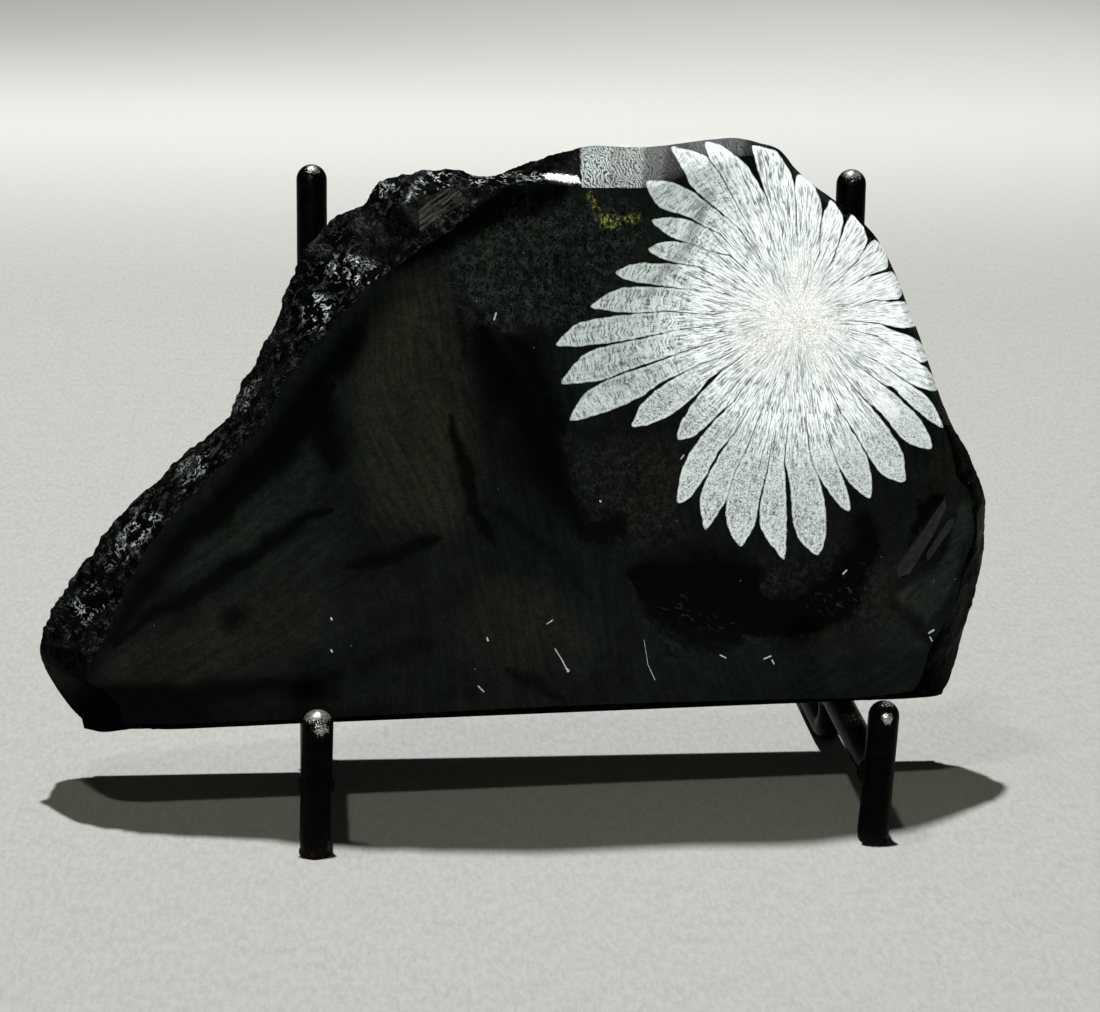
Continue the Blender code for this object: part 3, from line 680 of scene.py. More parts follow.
# ------------------------------------------------------------------ the slab
# Outline points of the picture, clockwise from the lower left corner: where
# the silhouette lies, how deep behind the face that edge is (mm), where the
# polished face ends, and how broken the strip between them is.
EDGE = (
    (103, 730, 1, 124, 723, .10), (89.5, 724.5, 2.5, 119, 706, .10), (74, 711, 4.5, 106, 692, .10),
    (56, 687, 8.5, 92, 685, .12), (40.5, 658, 11, 84, 676, .3), (41, 637, 12, 92, 664, 1),
    (50, 612, 12, 104, 640, 1), (62, 592, 12, 117, 612, 1), (84, 558, 12, 128, 585, 1),
    (108, 529, 12, 147, 550, 1), (132, 503, 12, 166, 526, 1), (156, 481, 12, 186, 503, 1),
    (180, 455, 12, 213, 472, 1), (204, 436, 12, 230, 457, 1), (228, 415, 12, 248, 441, 1),
    (240, 386, 12, 267, 418, 1), (252, 366, 12, 283, 387, 1), (264, 345, 12, 302, 363, 1),
    (276, 322, 12, 326, 332, 1), (287, 290, 12, 345, 313, 1), (296, 262, 12, 357, 301, 1),
    (310, 242, 12, 368, 286, 1), (328, 223, 12, 384, 275, 1), (347, 214, 12, 399, 265, 1),
    (363, 206, 12, 410, 257, 1), (370, 192, 12, 419, 251, 1), (379, 180, 12, 431, 243, 1),
    (394, 176, 12, 442, 236, 1), (408, 174, 12, 450, 231, 1),
    (432, 170, 12, 470, 214, .9), (456, 169, 12, 490, 198, .8), (475, 174, 11, 508, 186, .7),
    (500, 175, 10, 526, 184, .6), (520, 165, 12, 540, 183, .9), (540, 158, 12, 556, 184, .9),
    (560, 152, 10, 574, 187, .7), (588, 146, 9, 592, 188, .15), (612, 146, 9, 615, 188, .12),
    (636, 147, 9, 638, 188, .12), (660, 146, 8, 662, 185, .12), (690, 142, 6, 692, 172, .12),
    (715, 139, 5, 718, 163, .12), (737, 138, 4, 738, 157, .12), (760, 143, 3, 758, 156, .12),
    (780, 150, 3, 776, 160, .12), (795, 168, 2, 790, 174, .12), (815, 186, 2, 810, 192, .12),
    (835, 200, 2, 830, 206, .12), (855, 215, 2, 850, 221, .12), (872, 232, 2, 866, 237, .12),
    (885, 252, 2, 879, 256, .12), (896, 276, 2, 890, 279, .12), (906, 302, 2, 900, 304, .12),
    (918, 332, 2, 911, 334, .12), (927, 358, 2, 921, 360, .12), (937, 388, 2, 931, 390, .12),
    (948, 416, 2, 941, 419, .2), (962, 442, 4, 951, 446, .4), (974, 468, 5, 957, 474, .45),
    (985.5, 500, 5, 971, 499, .45), (984, 535, 6, 974, 533, .55), (979, 572, 6, 963, 568, .55),
    (972, 604, 7, 956, 601, .5), (963, 632, 7, 942, 628, .4), (955, 660, 7, 929, 652, .4),
    (946, 686, 4, 923, 672, .2), (939, 693, 2, 917, 686, .1), (912, 697, 1, 904, 692, .05),
    (853, 703, 1, 853, 698, .05), (800, 704.5, 1, 800, 699, .05), (740, 706, 1, 740, 700.5, .05),
    (680, 707.5, 1, 680, 702, .05), (600, 710, 1, 600, 704.5, .05), (520, 713.5, 1, 520, 708, .05),
    (440, 717.5, 1, 440, 712, .05), (360, 721.5, 1, 360, 716, .05), (300, 724.5, 1, 300, 719, .05),
    (230, 728, 1, 230, 722, .05), (170, 730, 1, 170, 724, .05), (135, 731, 2, 137, 724, .05),
)


def A(*pts):
    return [(540 + x / 3.8244, 135 + y / 3.8244) for x, y in pts]


def B(*pts):
    return [(540 + x / 3.8244, 300 + y / 3.8244) for x, y in pts]


# Petals, clockwise: each list runs from the notch before the petal, out round
# its tip and back to the notch after it.
PETALS = (
    A((765, 362), (690, 295), (620, 235), (570, 185), (552, 140), (545, 132), (525, 95),
      (505, 48), (560, 55), (610, 68), (636, 85), (660, 115), (690, 152), (700, 168)),
    A((700, 168), (690, 150), (660, 110), (638, 65), (632, 28), (690, 40), (745, 75),
      (790, 115), (830, 175), (868, 240)),
    A((868, 240), (845, 170), (825, 110), (812, 42), (850, 45), (900, 62), (930, 95),
      (955, 140), (970, 180), (979, 272)),
    A((979, 272), (975, 190), (985, 150), (1040, 185), (1065, 230), (1078, 270),
      (1072, 350), (1070, 450)),
    A((1070, 450), (1075, 350), (1090, 285), (1112, 250), (1145, 285), (1160, 320),
      (1150, 380), (1119, 481)),
    A((1119, 481), (1155, 385), (1170, 340), (1190, 305), (1225, 335), (1245, 375),
      (1250, 410), (1217, 477)),
    A((1217, 477), (1255, 420), (1278, 400), (1310, 425), (1328, 460), (1330, 505),
      (1290, 525), (1239, 546)),
    A((1239, 546), (1300, 530), (1345, 522), (1365, 545), (1378, 575), (1385, 605),
      (1375, 622), (1330, 632), (1279, 631)),
    A((1279, 631), (1340, 638), (1395, 638), (1420, 665), (1440, 700), (1440, 730),
      (1410, 738), (1360, 735), (1290, 720)),
    A((1290, 720), (1360, 750), (1420, 770), (1460, 800), (1488, 835), (1490, 860),
      (1460, 868), (1400, 840), (1330, 800), (1289, 769)),
    A((1289, 769), (1380, 830), (1450, 870), (1490, 905), (1520, 950), (1523, 972))
    + B((1460, 338), (1400, 308), (1330, 262), (1285, 232)),
    B((1285, 232), (1340, 270), (1410, 320), (1470, 360), (1500, 395), (1525, 440),
      (1540, 488), (1500, 470), (1450, 430), (1400, 385), (1340, 330), (1319, 328)),
    B((1319, 328), (1345, 350), (1400, 400), (1450, 450), (1480, 500), (1497, 568),
      (1440, 560), (1390, 535), (1350, 490), (1310, 440), (1240, 379)),
    B((1240, 379), (1300, 450), (1345, 510), (1385, 580), (1395, 640), (1397, 692),
      (1340, 685), (1300, 660), (1270, 620), (1240, 570), (1200, 500), (1150, 430)),
    B((1150, 430), (1200, 510), (1245, 590), (1262, 640), (1270, 700), (1262, 758),
      (1220, 735), (1180, 695), (1150, 650), (1130, 610), (1115, 565)),
    B((1115, 565), (1150, 660), (1172, 720), (1185, 770), (1182, 808), (1150, 790),
      (1120, 755), (1095, 720), (1070, 680), (1040, 620), (1030, 570)),
    B((1030, 570), (1050, 640), (1075, 710), (1090, 780), (1095, 850), (1090, 920),
      (1063, 975), (1020, 950), (985, 905), (968, 850), (960, 760), (950, 680), (935, 618)),
    B((935, 618), (940, 700), (943, 800), (943, 900), (932, 993), (895, 950), (860, 905),
      (840, 860), (840, 800), (850, 740), (869, 657)),
    B((869, 657), (850, 720), (835, 790), (825, 850), (800, 900), (765, 942), (730, 895),
      (712, 840), (710, 790), (720, 740), (745, 660), (795, 560)),
    B((795, 560), (765, 620), (735, 690), (715, 760), (690, 800), (660, 850), (632, 880),
      (618, 830), (612, 770), (625, 710), (660, 640), (700, 570), (740, 515)),
    B((740, 515), (700, 560), (660, 620), (630, 680), (590, 735), (565, 765), (525, 775),
      (530, 720), (540, 660), (565, 600), (600, 545), (660, 470), (745, 385)),
    B((745, 385), (700, 420), (650, 470), (600, 515), (580, 525), (527, 533), (530, 490),
      (555, 440), (590, 385), (640, 330), (700, 270), (735, 244)),
    B((735, 244), (650, 300), (600, 360), (560, 395), (500, 440), (420, 475), (352, 482),
      (370, 430), (400, 385), (450, 340), (520, 295), (600, 250), (690, 222)),
    B((690, 222), (600, 255), (520, 290), (450, 325), (380, 375), (300, 410), (200, 445),
      (115, 460), (140, 400), (180, 350), (230, 320), (320, 280), (400, 255), (480, 225),
      (535, 202)),
    B((535, 202), (420, 240), (320, 275), (260, 300), (180, 315), (80, 318), (110, 270),
      (160, 215), (220, 185), (300, 165), (400, 145), (500, 120), (540, 112)),
    A((540, 743), (430, 765), (330, 785), (230, 800), (140, 808), (62, 803), (100, 755),
      (140, 722), (200, 705), (300, 690), (400, 680), (490, 674)),
    A((490, 674), (400, 678), (300, 677), (240, 668), (195, 657), (230, 625), (270, 600),
      (320, 583), (400, 580), (500, 585), (620, 598), (710, 607)),
    A((710, 607), (560, 590), (440, 573), (350, 560), (310, 545), (290, 528), (320, 505),
      (360, 493), (440, 490), (520, 493), (560, 497), (610, 505)),
    A((610, 505), (560, 495), (480, 478), (440, 460), (413, 437), (450, 415), (500, 407),
      (560, 412), (620, 430), (670, 450), (725, 460)),
    A((725, 460), (700, 455), (620, 435), (550, 408), (500, 390), (450, 355), (425, 328),
      (480, 315), (540, 318), (590, 335), (640, 355), (690, 379)),
    A((690, 379), (620, 345), (560, 310), (500, 295), (450, 270), (420, 225), (405, 180),
      (470, 175), (530, 190), (580, 215), (620, 245), (680, 290), (765, 362)),
)
HEART = (797, 318)



def E(*pts):
    return [(30 + x / 1.5464, 130 + y / 1.5464) for x, y in pts]


# Soft colour zones of the polished face: polygon, softness in px, amount.
ZONES_TONE = (
    (E((500, 430), (515, 300), (570, 225), (640, 230), (680, 400), (690, 560), (650, 625), (530, 600)), 16, 0.75),
    (E((190, 700), (300, 600), (400, 505), (455, 500), (440, 575), (380, 620), (250, 705)), 12, 0.55),
    (E((120, 850), (140, 800), (250, 740), (400, 640), (470, 620), (460, 800), (300, 850)), 20, 0.35),
    (E((640, 190), (760, 120), (900, 110), (960, 160), (930, 260), (860, 290), (700, 300)), 20, 0.55),
    (E((690, 700), (780, 700), (900, 760), (880, 830), (760, 850), (660, 800)), 20, 0.40),
    (E((830, 460), (990, 470), (1010, 620), (900, 640), (840, 560)), 16, 0.10),
    (E((940, 720), (1100, 800), (1300, 780), (1400, 740), (1390, 850), (950, 870)), 16, 0.15),
    (((966, 500), (973, 505), (972, 520), (970, 536), (963, 548), (958, 570), (951, 592), (938, 612),
      (925, 622), (905, 610), (900, 596), (915, 582), (932, 568), (945, 548), (957, 528), (960, 512)), 3, 1.1),
    (((905, 600), (925, 618), (935, 622), (925, 650), (890, 655), (870, 630)), 12, 0.5),
    (((862, 590), (885, 560), (905, 530), (925, 505), (940, 498), (915, 560), (880, 610)), 9, 0.25),
    (E((60, 860), (150, 740), (340, 500), (450, 360), (560, 230), (590, 250), (500, 350), (400, 480),
       (230, 650), (120, 800)), 14, -0.85),
    (E((640, 300), (800, 300), (850, 560), (800, 600), (700, 480)), 20, -0.35),
    (E((100, 860), (400, 858), (480, 835), (480, 880), (100, 885)), 8, -0.5),
    (E((540, 90), (600, 90), (620, 160), (740, 90), (830, 90), (800, 130), (640, 190), (560, 230)), 10, -0.75),
    (((92, 688), (150, 694), (240, 703), (330, 705), (420, 703), (420, 723), (118, 733)), 6, -0.35),
    (((84, 676), (100, 690), (150, 699), (205, 706), (215, 731), (116, 734)), 8, -0.5),
)
ZONES_BROWN = (
    (E((500, 430), (515, 300), (570, 225), (640, 230), (680, 400), (690, 560), (650, 625), (530, 600)), 22, 1.0),
    (E((130, 840), (170, 790), (300, 730), (450, 690), (430, 800), (250, 850)), 24, 0.75),
    (E((680, 700), (740, 690), (830, 740), (860, 810), (760, 830), (680, 790)), 20, 0.85),
    (E((900, 470), (990, 480), (1010, 600), (930, 640), (880, 580)), 20, 0.6),
    (E((1160, 760), (1290, 720), (1370, 660), (1360, 760), (1200, 830)), 20, 0.6),
    (E((1380, 500), (1430, 480), (1430, 540), (1380, 560)), 10, 0.7),
)
ZONES_TEAL = (
    (E((680, 560), (860, 560), (960, 640), (900, 760), (740, 700)), 24, 0.9),
    (E((760, 320), (850, 330), (840, 440), (780, 420)), 16, 0.7),
    (E((480, 820), (620, 800), (700, 880), (480, 890)), 16, 0.6),
    (E((950, 780), (1150, 800), (1350, 780), (1400, 860), (960, 880)), 18, 0.8),
    (E((420, 330), (500, 300), (500, 560), (440, 560)), 14, 0.6),
    (E((1370, 700), (1460, 590), (1450, 760), (1390, 840)), 14, 0.5),
)
ZONES_DIAG = (
    (E((60, 880), (480, 320), (500, 500), (490, 900)), 24, 1.0),
    (E((1120, 900), (1250, 600), (1450, 560), (1450, 900)), 24, 1.0),
)
ZONES_LEATHER = (
    (E((640, 200), (760, 110), (930, 110), (960, 170), (910, 220), (850, 330), (780, 300), (690, 310)), 20, 0.9),
    (E((830, 480), (1000, 480), (1010, 640), (850, 640)), 20, 0.5),
    (E((930, 700), (1290, 640), (1330, 760), (980, 820)), 20, 0.6),
)
# Bright flecks and nicks in the polish: points, half width in px.
FLECKS = (
    (((929, 633), (934, 630)), 1.5), (((930, 637), (932, 641)), 0.9),
    (((555, 649), (562, 660), (568, 672)), 1.0), (((566, 668), (569, 671)), 1.4),
    (((487, 638), (488, 641)), 1.2), (((478, 686), (484, 692)), 0.8), (((331, 618), (332, 620)), 1.3),
    (((331, 650), (332, 652)), 1.4), (((600, 501), (601, 502)), 1.3), (((843, 574), (847, 570)), 1.2),
    (((764, 659), (771, 656)), 1.2), (((720, 655), (726, 658)), 0.9), (((772, 660), (774, 664)), 1.0),
    (((547, 624), (553, 620)), 0.8), (((644, 640), (648, 665), (655, 680)), 0.5),
    (((496, 313), (494, 320)), 1.0), (((681, 459), (684, 455)), 1.0), (((400, 716), (403, 716)), 1.0),
)

# Dark veins: points, half width in px, strength.
VEINS = (
    (E((130, 800), (200, 745), (260, 715), (330, 665), (390, 625), (430, 597), (470, 590)), 6, 1.0),
    (E((190, 690), (290, 600), (360, 530), (430, 450), (470, 400)), 9, 0.95),
    (E((130, 790), (170, 715), (240, 630), (330, 540)), 9, 0.9),
    (E((450, 400), (452, 470), (470, 525)), 12, 0.9),
    (E((480, 390), (498, 330), (520, 290)), 9, 0.6),
    (E((490, 672), (540, 660), (600, 642), (640, 633)), 6, 1.0),
    (E((650, 440), (668, 500), (682, 560), (715, 645)), 5, 0.95),
    (E((610, 300), (640, 380), (660, 430)), 4, 0.5),
    (E((695, 310), (730, 380), (775, 450), (800, 520), (835, 590), (860, 620)), 13, 0.95),
    (E((740, 315), (775, 360), (800, 430), (825, 470)), 9, 0.8),
    (E((680, 560), (730, 600), (800, 650), (870, 720)), 7, 0.55),
    (E((860, 620), (890, 620), (915, 610)), 13, 0.95),
    (E((930, 682), (1000, 685), (1070, 682), (1130, 690)), 15, 1.0),
    (E((950, 700), (985, 750), (1030, 780), (1090, 790)), 13, 0.95),
    (E((1090, 740), (1150, 745), (1215, 730), (1260, 690), (1285, 640), (1290, 600)), 15, 0.95),
    (E((1130, 775), (1200, 770), (1260, 740)), 12, 0.8),
    (E((100, 868), (200, 872), (330, 866), (440, 858), (470, 842)), 8, 0.9),
    (E((500, 830), (550, 815), (620, 790)), 10, 0.55),
    (E((735, 833), (780, 858), (820, 880)), 5, 0.8),
    (E((310, 755), (330, 745)), 9, 0.8),
    (E((600, 195), (660, 150), (740, 92)), 12, 1.0),
    (E((560, 110), (575, 160), (590, 190)), 16, 1.0),
    (E((770, 120), (800, 105), (830, 95)), 11, 0.8),
    (E((800, 190), (830, 220), (860, 235)), 8, 0.5),
    (E((1370, 570), (1395, 590), (1385, 640), (1350, 690)), 6, 0.8),
    (E((1400, 660), (1420, 620), (1440, 590)), 5, 0.6),
    (E((1340, 740), (1370, 760), (1400, 800)), 8, 0.6),
    (E((840, 460), (900, 470), (960, 465)), 5, 0.5),
)
# Flat chips let into the face on the right.
CHIPS = (
    ((944.9, 498.1), (946.5, 507.4), (940, 521), (934.4, 533), (921.6, 554), (910, 573.7), (898.4, 577),
     (896.7, 570), (903, 558.6), (914.7, 542.3), (927.4, 523.7), (936.7, 509.8)),
    ((954.2, 516.7), (953, 526), (941.4, 542.3), (932, 556.3), (927.4, 561), (926.3, 554),
     (936.7, 537.7), (947.2, 521.4)),
)
# Black hollows, and the parts of them where shining wrinkles are painted in as glints.
HOLLOWS = (
    ((626, 572), (640, 564), (700, 565), (757, 566), (761, 588), (772, 601), (792, 600), (812, 590),
     (832, 575), (848, 558), (860, 540), (872, 528), (876, 545), (868, 572), (856, 592), (862, 604),
     (850, 616), (826, 628), (790, 636), (745, 634), (706, 627), (672, 622), (652, 606), (638, 590)),
    ((915, 524), (920, 505), (932, 496), (945, 495), (938, 506), (926, 520), (914, 536), (902, 552)),
)
SILK_GLINTS = (
    ((640, 585), (668, 588), (700, 600), (728, 622), (700, 626), (672, 622), (652, 606)),
    ((800, 600), (830, 584), (858, 562), (880, 556), (884, 575), (858, 606), (820, 620)),
    ((700, 612), (750, 622), (740, 636), (706, 630)),
)


def back_thickness(u, v):
    """Depth of the sawn back behind the face at (u, v)."""
    nrm = Vector((0.0, math.cos(LEAN), -math.sin(LEAN)))
    pt = Vector((0.0, 45.0, 14.6)) - nrm * (ROD_R + 0.3)
    p0 = ORIGIN + RIGHT * float(u) + UP * float(v)
    return (pt - p0).dot(nrm) / INTO.dot(nrm)


def world(uvw):
    return (np.outer(uvw[:, 0], RIGHT) + np.outer(uvw[:, 1], UP)
            + np.outer(uvw[:, 2], INTO) + np.array(ORIGIN))


def base_z(x):
    middle = (LEDGE_Z[0] + LEDGE_Z[1]) / 2 + ROD_R + 0.03
    swell = 0.1 * min(1.0, max(0.0, (-63.0 - x) / 9.0))
    return middle + x * (LEDGE_Z[1] - LEDGE_Z[0]) / 115.7 - swell


def rest_on_base(uvw, low):
    """Cuts the underside flat: no point below it, and low points on it.
    A point slides in the plane of the face, along v."""
    out = uvw.copy()
    p = world(uvw)
    for i in range(len(p)):
        z = base_z(p[i, 0])
        if p[i, 2] < z or low[i]:
            out[i, 1] += (z - p[i, 2]) / UP.z
    return out


def scars(points, spacing, deep, count_area, seed, floor=-9.0):
    """Depth of overlapping bowl-shaped flake scars with sharp ridges."""
    rng = np.random.default_rng(seed)
    m = max(8, int(count_area / spacing ** 2))
    pick = rng.choice(len(points), m)
    seeds = points[pick] + rng.normal(0, spacing * 0.35, (m, 3))
    drop = rng.uniform(0.0, 1.0, m) * deep
    curve = rng.uniform(0.7, 1.5, m) * spacing * spacing / (2.2 * deep)
    tree = kdtree.KDTree(m)
    for i, s in enumerate(seeds):
        tree.insert(s, i)
    tree.balance()
    out = np.full(len(points), floor)
    for k, q in enumerate(points.tolist()):
        best = floor
        for co, i, d in tree.find_n(q, 7):
            h = drop[i] - d * d / (2 * curve[i])
            if h > best:
                best = h
        out[k] = best
    return np.maximum(out, -0.5 * deep)


def build_stone():
    rows = []
    for ox, oy, w, ix, iy, k in EDGE:
        uo, vo = seen(ox, oy, w)
        ui, vi = seen(ix, iy, 0.0)
        rows.append((uo, vo, w, ui, vi, k))
    step = 0.52
    loop = spline(rows, step, True)
    n = len(loop)
    uo, vo, wo, ui, vi, rough = loop.T
    rough = np.clip(rough, 0.02, 1)
    low = vo < 1.2
    # outward direction at each section
    du, dv = np.roll(uo, -1) - np.roll(uo, 1), np.roll(vo, -1) - np.roll(vo, 1)
    dl = np.hypot(du, dv)
    out_u, out_v = -dv / dl, du / dl
    # a broken silhouette
    base_pts = np.stack([uo, vo, wo], 1)
    jag = (field(base_pts, 0.16, 1) * 0.9 + field(base_pts, 0.42, 2) * 0.55
           + field(base_pts, 1.1, 3) * 0.42)
    jag = np.where(low, 0.0, jag * rough * 0.8 - 0.12 * rough)
    uo, vo = uo + out_u * jag, vo + out_v * jag
    nib = field(np.stack([ui, vi, wo * 0], 1), 0.35, 4, 2) * rough * 0.9
    ui, vi = ui + out_u * nib, vi + out_v * nib

    # ---- strip between the face and the outer edge
    width = np.sqrt((uo - ui) ** 2 + (vo - vi) ** 2 + wo ** 2)
    cell = 0.52
    pts, tee, sid = [], [], []
    for i in range(n):
        m = max(1, int(round(width[i] / cell)))
        for j in range(m + 1):
            t = j / m
            pts.append((ui[i] + (uo[i] - ui[i]) * t, vi[i] + (vo[i] - vi[i]) * t,
                        wo[i] * t ** 1.35))
            tee.append(t)
            sid.append(i)
    pts, tee, sid = np.array(pts), np.array(tee), np.array(sid)
    rk = rough[sid]
    area = float((width * np.hypot(du, dv) / 2).sum())
    deep = np.zeros(len(pts))
    live = rk > 0.2
    q = pts[live]
    s1 = scars(q, 7.5, 1.5, area * 0.5, 11)
    s2 = scars(q, 3.0, 0.62, area * 0.5, 12)
    s3 = scars(q, 1.35, 0.26, area * 0.5, 13)
    fine = field(q, 0.8, 5, 2) * 0.12
    deep[live] = s1 + s2 + s3 + fine
    window = smooth(0.0, 0.16, tee) * np.where(low[sid], 0, 1)
    shift = deep * smooth(0.2, 0.8, rk) * window * np.minimum(1, width[sid] / 9.0)
    pts[:, 2] += shift
    pts[:, 2] = np.maximum(pts[:, 2], 0.03 * tee)
    ridge = np.zeros(len(pts))
    ridge[live] = smooth(0.1, -0.35, (s2 + s3)) * smooth(0.3, 0.9, rk[live])

    # ground margins get a very slight hollow only
    calm = (rk <= 0.2) & (tee > 0) & ~low[sid]
    pts[calm, 2] += field(pts[calm], 0.3, 6) * 0.06

    inner_id = [np.where((sid == i) & (tee == 0))[0][0] for i in range(n)]
    outer_id = [np.where((sid == i) & (tee == 1))[0][0] for i in range(n)]
    # the silhouette is finished here, so that the sides can share it
    pts[outer_id] = rest_on_base(pts[outer_id], low)
    inner_poly = pts[inner_id][:, :2]
    outer_poly = pts[outer_id][:, :2]

    # ---- depth of any point of the front
    tree = kdtree.KDTree(len(pts))
    for i, q in enumerate(pts):
        tree.insert((q[0], q[1], 0.0), i)
    tree.balance()

    def depth(u, v, on_face):
        if on_face:
            return 0.0
        near = tree.find_n((u, v, 0.0), 3)
        wt = [1.0 / (d + 0.02) ** 2 for _, _, d in near]
        return sum(a * pts[i, 2] for a, (_, i, _) in zip(wt, near)) / sum(wt)

    # ---- petals in the plane of the face
    petal_polys = []
    notch = []
    for k, pet in enumerate(PETALS):
        uv = []
        for x, y in pet:
            w = 0.0
            for _ in range(3):
                a = seen(x, y, w)
                on = inside(np.array([a]), inner_poly)[0]
                w = depth(a[0], a[1], on)
            uv.append(a)
        line = spline(uv, 0.55, False)
        wob = np.array([[noise.noise(Vector((x * 0.7, y * 0.7, k))),
                         noise.noise(Vector((x * 0.7 + 40, y * 0.7, k)))] for x, y in line])
        line[1:-1] += wob[1:-1] * 0.22
        petal_polys.append(line)
        notch.append(uv[-1])
    notch = np.array(notch)
    heart = np.array(seen(*HEART))
    # thin dark seams run on from the notches towards the heart
    seams = []
    for k, a in enumerate(notch):
        d = heart - a
        r = np.hypot(*d)
        d /= r
        side = np.array([-d[1], d[0]])
        reach = r * RNG.uniform(0.18, 0.52)
        bend = RNG.normal(0, 0.5)
        seams.append(np.array([a + side * 0.16 - d * 0.3, a + d * reach * 0.5 + side * (0.09 + bend * 0.3),
                               a + d * reach + side * bend * 0.5,
                               a + d * reach * 0.5 + side * (-0.05 + bend * 0.3),
                               a - side * 0.16 - d * 0.3]))

    # ---- triangulate the front
    coords = [tuple(p[:2]) for p in pts]
    edges = []
    fixed = {}

    def chain(ids, closed):
        for a, b in zip(ids, ids[1:] + (ids[:1] if closed else [])):
            edges.append((a, b))

    chain(inner_id, True)
    chain(outer_id, True)
    for line in petal_polys:
        start = len(coords)
        coords.extend(map(tuple, line))
        chain(list(range(start, len(coords))), False)
    for s in seams:
        start = len(coords)
        coords.extend(map(tuple, s))
        chain(list(range(start, len(coords))), True)
    nicks = []
    for line, half in FLECKS:
        c = np.array([seen(x, y) for x, y in line])
        h = half * 0.16
        d = np.gradient(c, axis=0)
        d /= np.hypot(*d.T)[:, None]
        nrm = np.column_stack([-d[:, 1], d[:, 0]])
        taper = np.linspace(0.6, 1.0, len(c))[:, None] if len(c) > 2 else 1.0
        ring = np.concatenate([[c[0] - d[0] * h], c + nrm * h * taper, [c[-1] + d[-1] * h * 0.7],
                               (c - nrm * h * taper * 0.8)[::-1]])
        nicks.append(ring)
        start = len(coords)
        coords.extend(map(tuple, ring))
        chain(list(range(start, len(coords))), True)
    chips = []
    for poly in CHIPS:
        c = np.array([seen(x, y) for x, y in poly])
        ring = []
        for i, a in enumerate(c):
            b = c[(i + 1) % len(c)]
            m = max(1, int(np.hypot(*(b - a)) / 0.6))
            ring += [a + (b - a) * k / m + RNG.normal(0, 0.03, 2) for k in range(m)]
        chips.append(np.array(ring))
    for ring in chips:
        start = len(coords)
        coords.extend(map(tuple, ring))
        chain(list(range(start, len(coords))), True)
    pitch = 0.76
    us = np.arange(uo.min(), uo.max(), pitch)
    vs = np.arange(0.4, vo.max(), pitch * 0.866)
    gu, gv = np.meshgrid(us, vs)
    gu = gu + (np.arange(len(vs)) % 2)[:, None] * pitch / 2
    grid = np.stack([gu.ravel(), gv.ravel()], 1)
    grid = grid[inside(grid, inner_poly)]
    away = to_line(grid, inner_poly[::3], True) > pitch * 0.55
    grid = grid[away]
    coords.extend(map(tuple, grid))
    out = delaunay_2d_cdt([Vector(c) for c in coords], edges, [], 0, 1e-6, True)
    co = np.array([tuple(v) for v in out[0]])
    tris = np.array([f for f in out[2] if len(f) == 3])
    # height
    owner = np.full(len(co), -1)
    for i, src in enumerate(out[3]):
        for s in src:
            if s < len(pts):
                owner[i] = s
                break
    mid = co[tris].mean(1)
    keep = inside(mid, outer_poly)
    a, b, c = (co[tris[:, k]] for k in range(3))
    flat = np.abs((b[:, 0] - a[:, 0]) * (c[:, 1] - a[:, 1]) - (b[:, 1] - a[:, 1]) * (c[:, 0] - a[:, 0])) < 1e-9
    tris, mid = tris[keep & ~flat], mid[keep & ~flat]
    used = np.unique(tris)
    renum = np.full(len(co), -1)
    renum[used] = np.arange(len(used))
    co, owner, tris = co[used], owner[used], renum[tris]
    on_face = inside(co, inner_poly)
    w = np.zeros(len(co))
    for i in range(len(co)):
        if owner[i] >= 0:
            w[i] = pts[owner[i], 2]
        elif not on_face[i]:
            w[i] = depth(co[i, 0], co[i, 1], False)
    for ring in chips:
        depth_in = np.where(inside(co, ring), to_line(co, ring, True), 0.0)
        w = np.where(on_face, w + 0.22 * smooth(0.0, 0.9, depth_in), w)
    front = np.column_stack([co, w])
    # every triangle turns its front to -w
    a, b, c = (co[tris[:, k]] for k in range(3))
    area2 = (b[:, 0] - a[:, 0]) * (c[:, 1] - a[:, 1]) - (b[:, 1] - a[:, 1]) * (c[:, 0] - a[:, 0])
    tris = np.where((area2 < 0)[:, None], tris, tris[:, ::-1])
    # RIGHT x UP = -INTO or INTO: settle it from the axes
    if RIGHT.cross(UP).dot(INTO) < 0:
        tris = tris[:, ::-1]

    face_mid = inside(mid, inner_poly)
    in_petal = inside(mid, notch)
    for line in petal_polys:
        in_petal |= inside(mid, line)
    in_seam = np.zeros(len(mid), bool)
    for s in seams:
        in_seam |= inside(mid, s)

    in_nick = np.zeros(len(mid), bool)
    for s in nicks:
        in_nick |= inside(mid, s)

    # which outline sample each front vertex at the rim belongs to
    loc = {int(o): i for i, o in enumerate(owner) if o >= 0}
    rim = [loc[int(o)] for o in outer_id]
    border = [loc[int(o)] for o in inner_id if int(o) in loc]

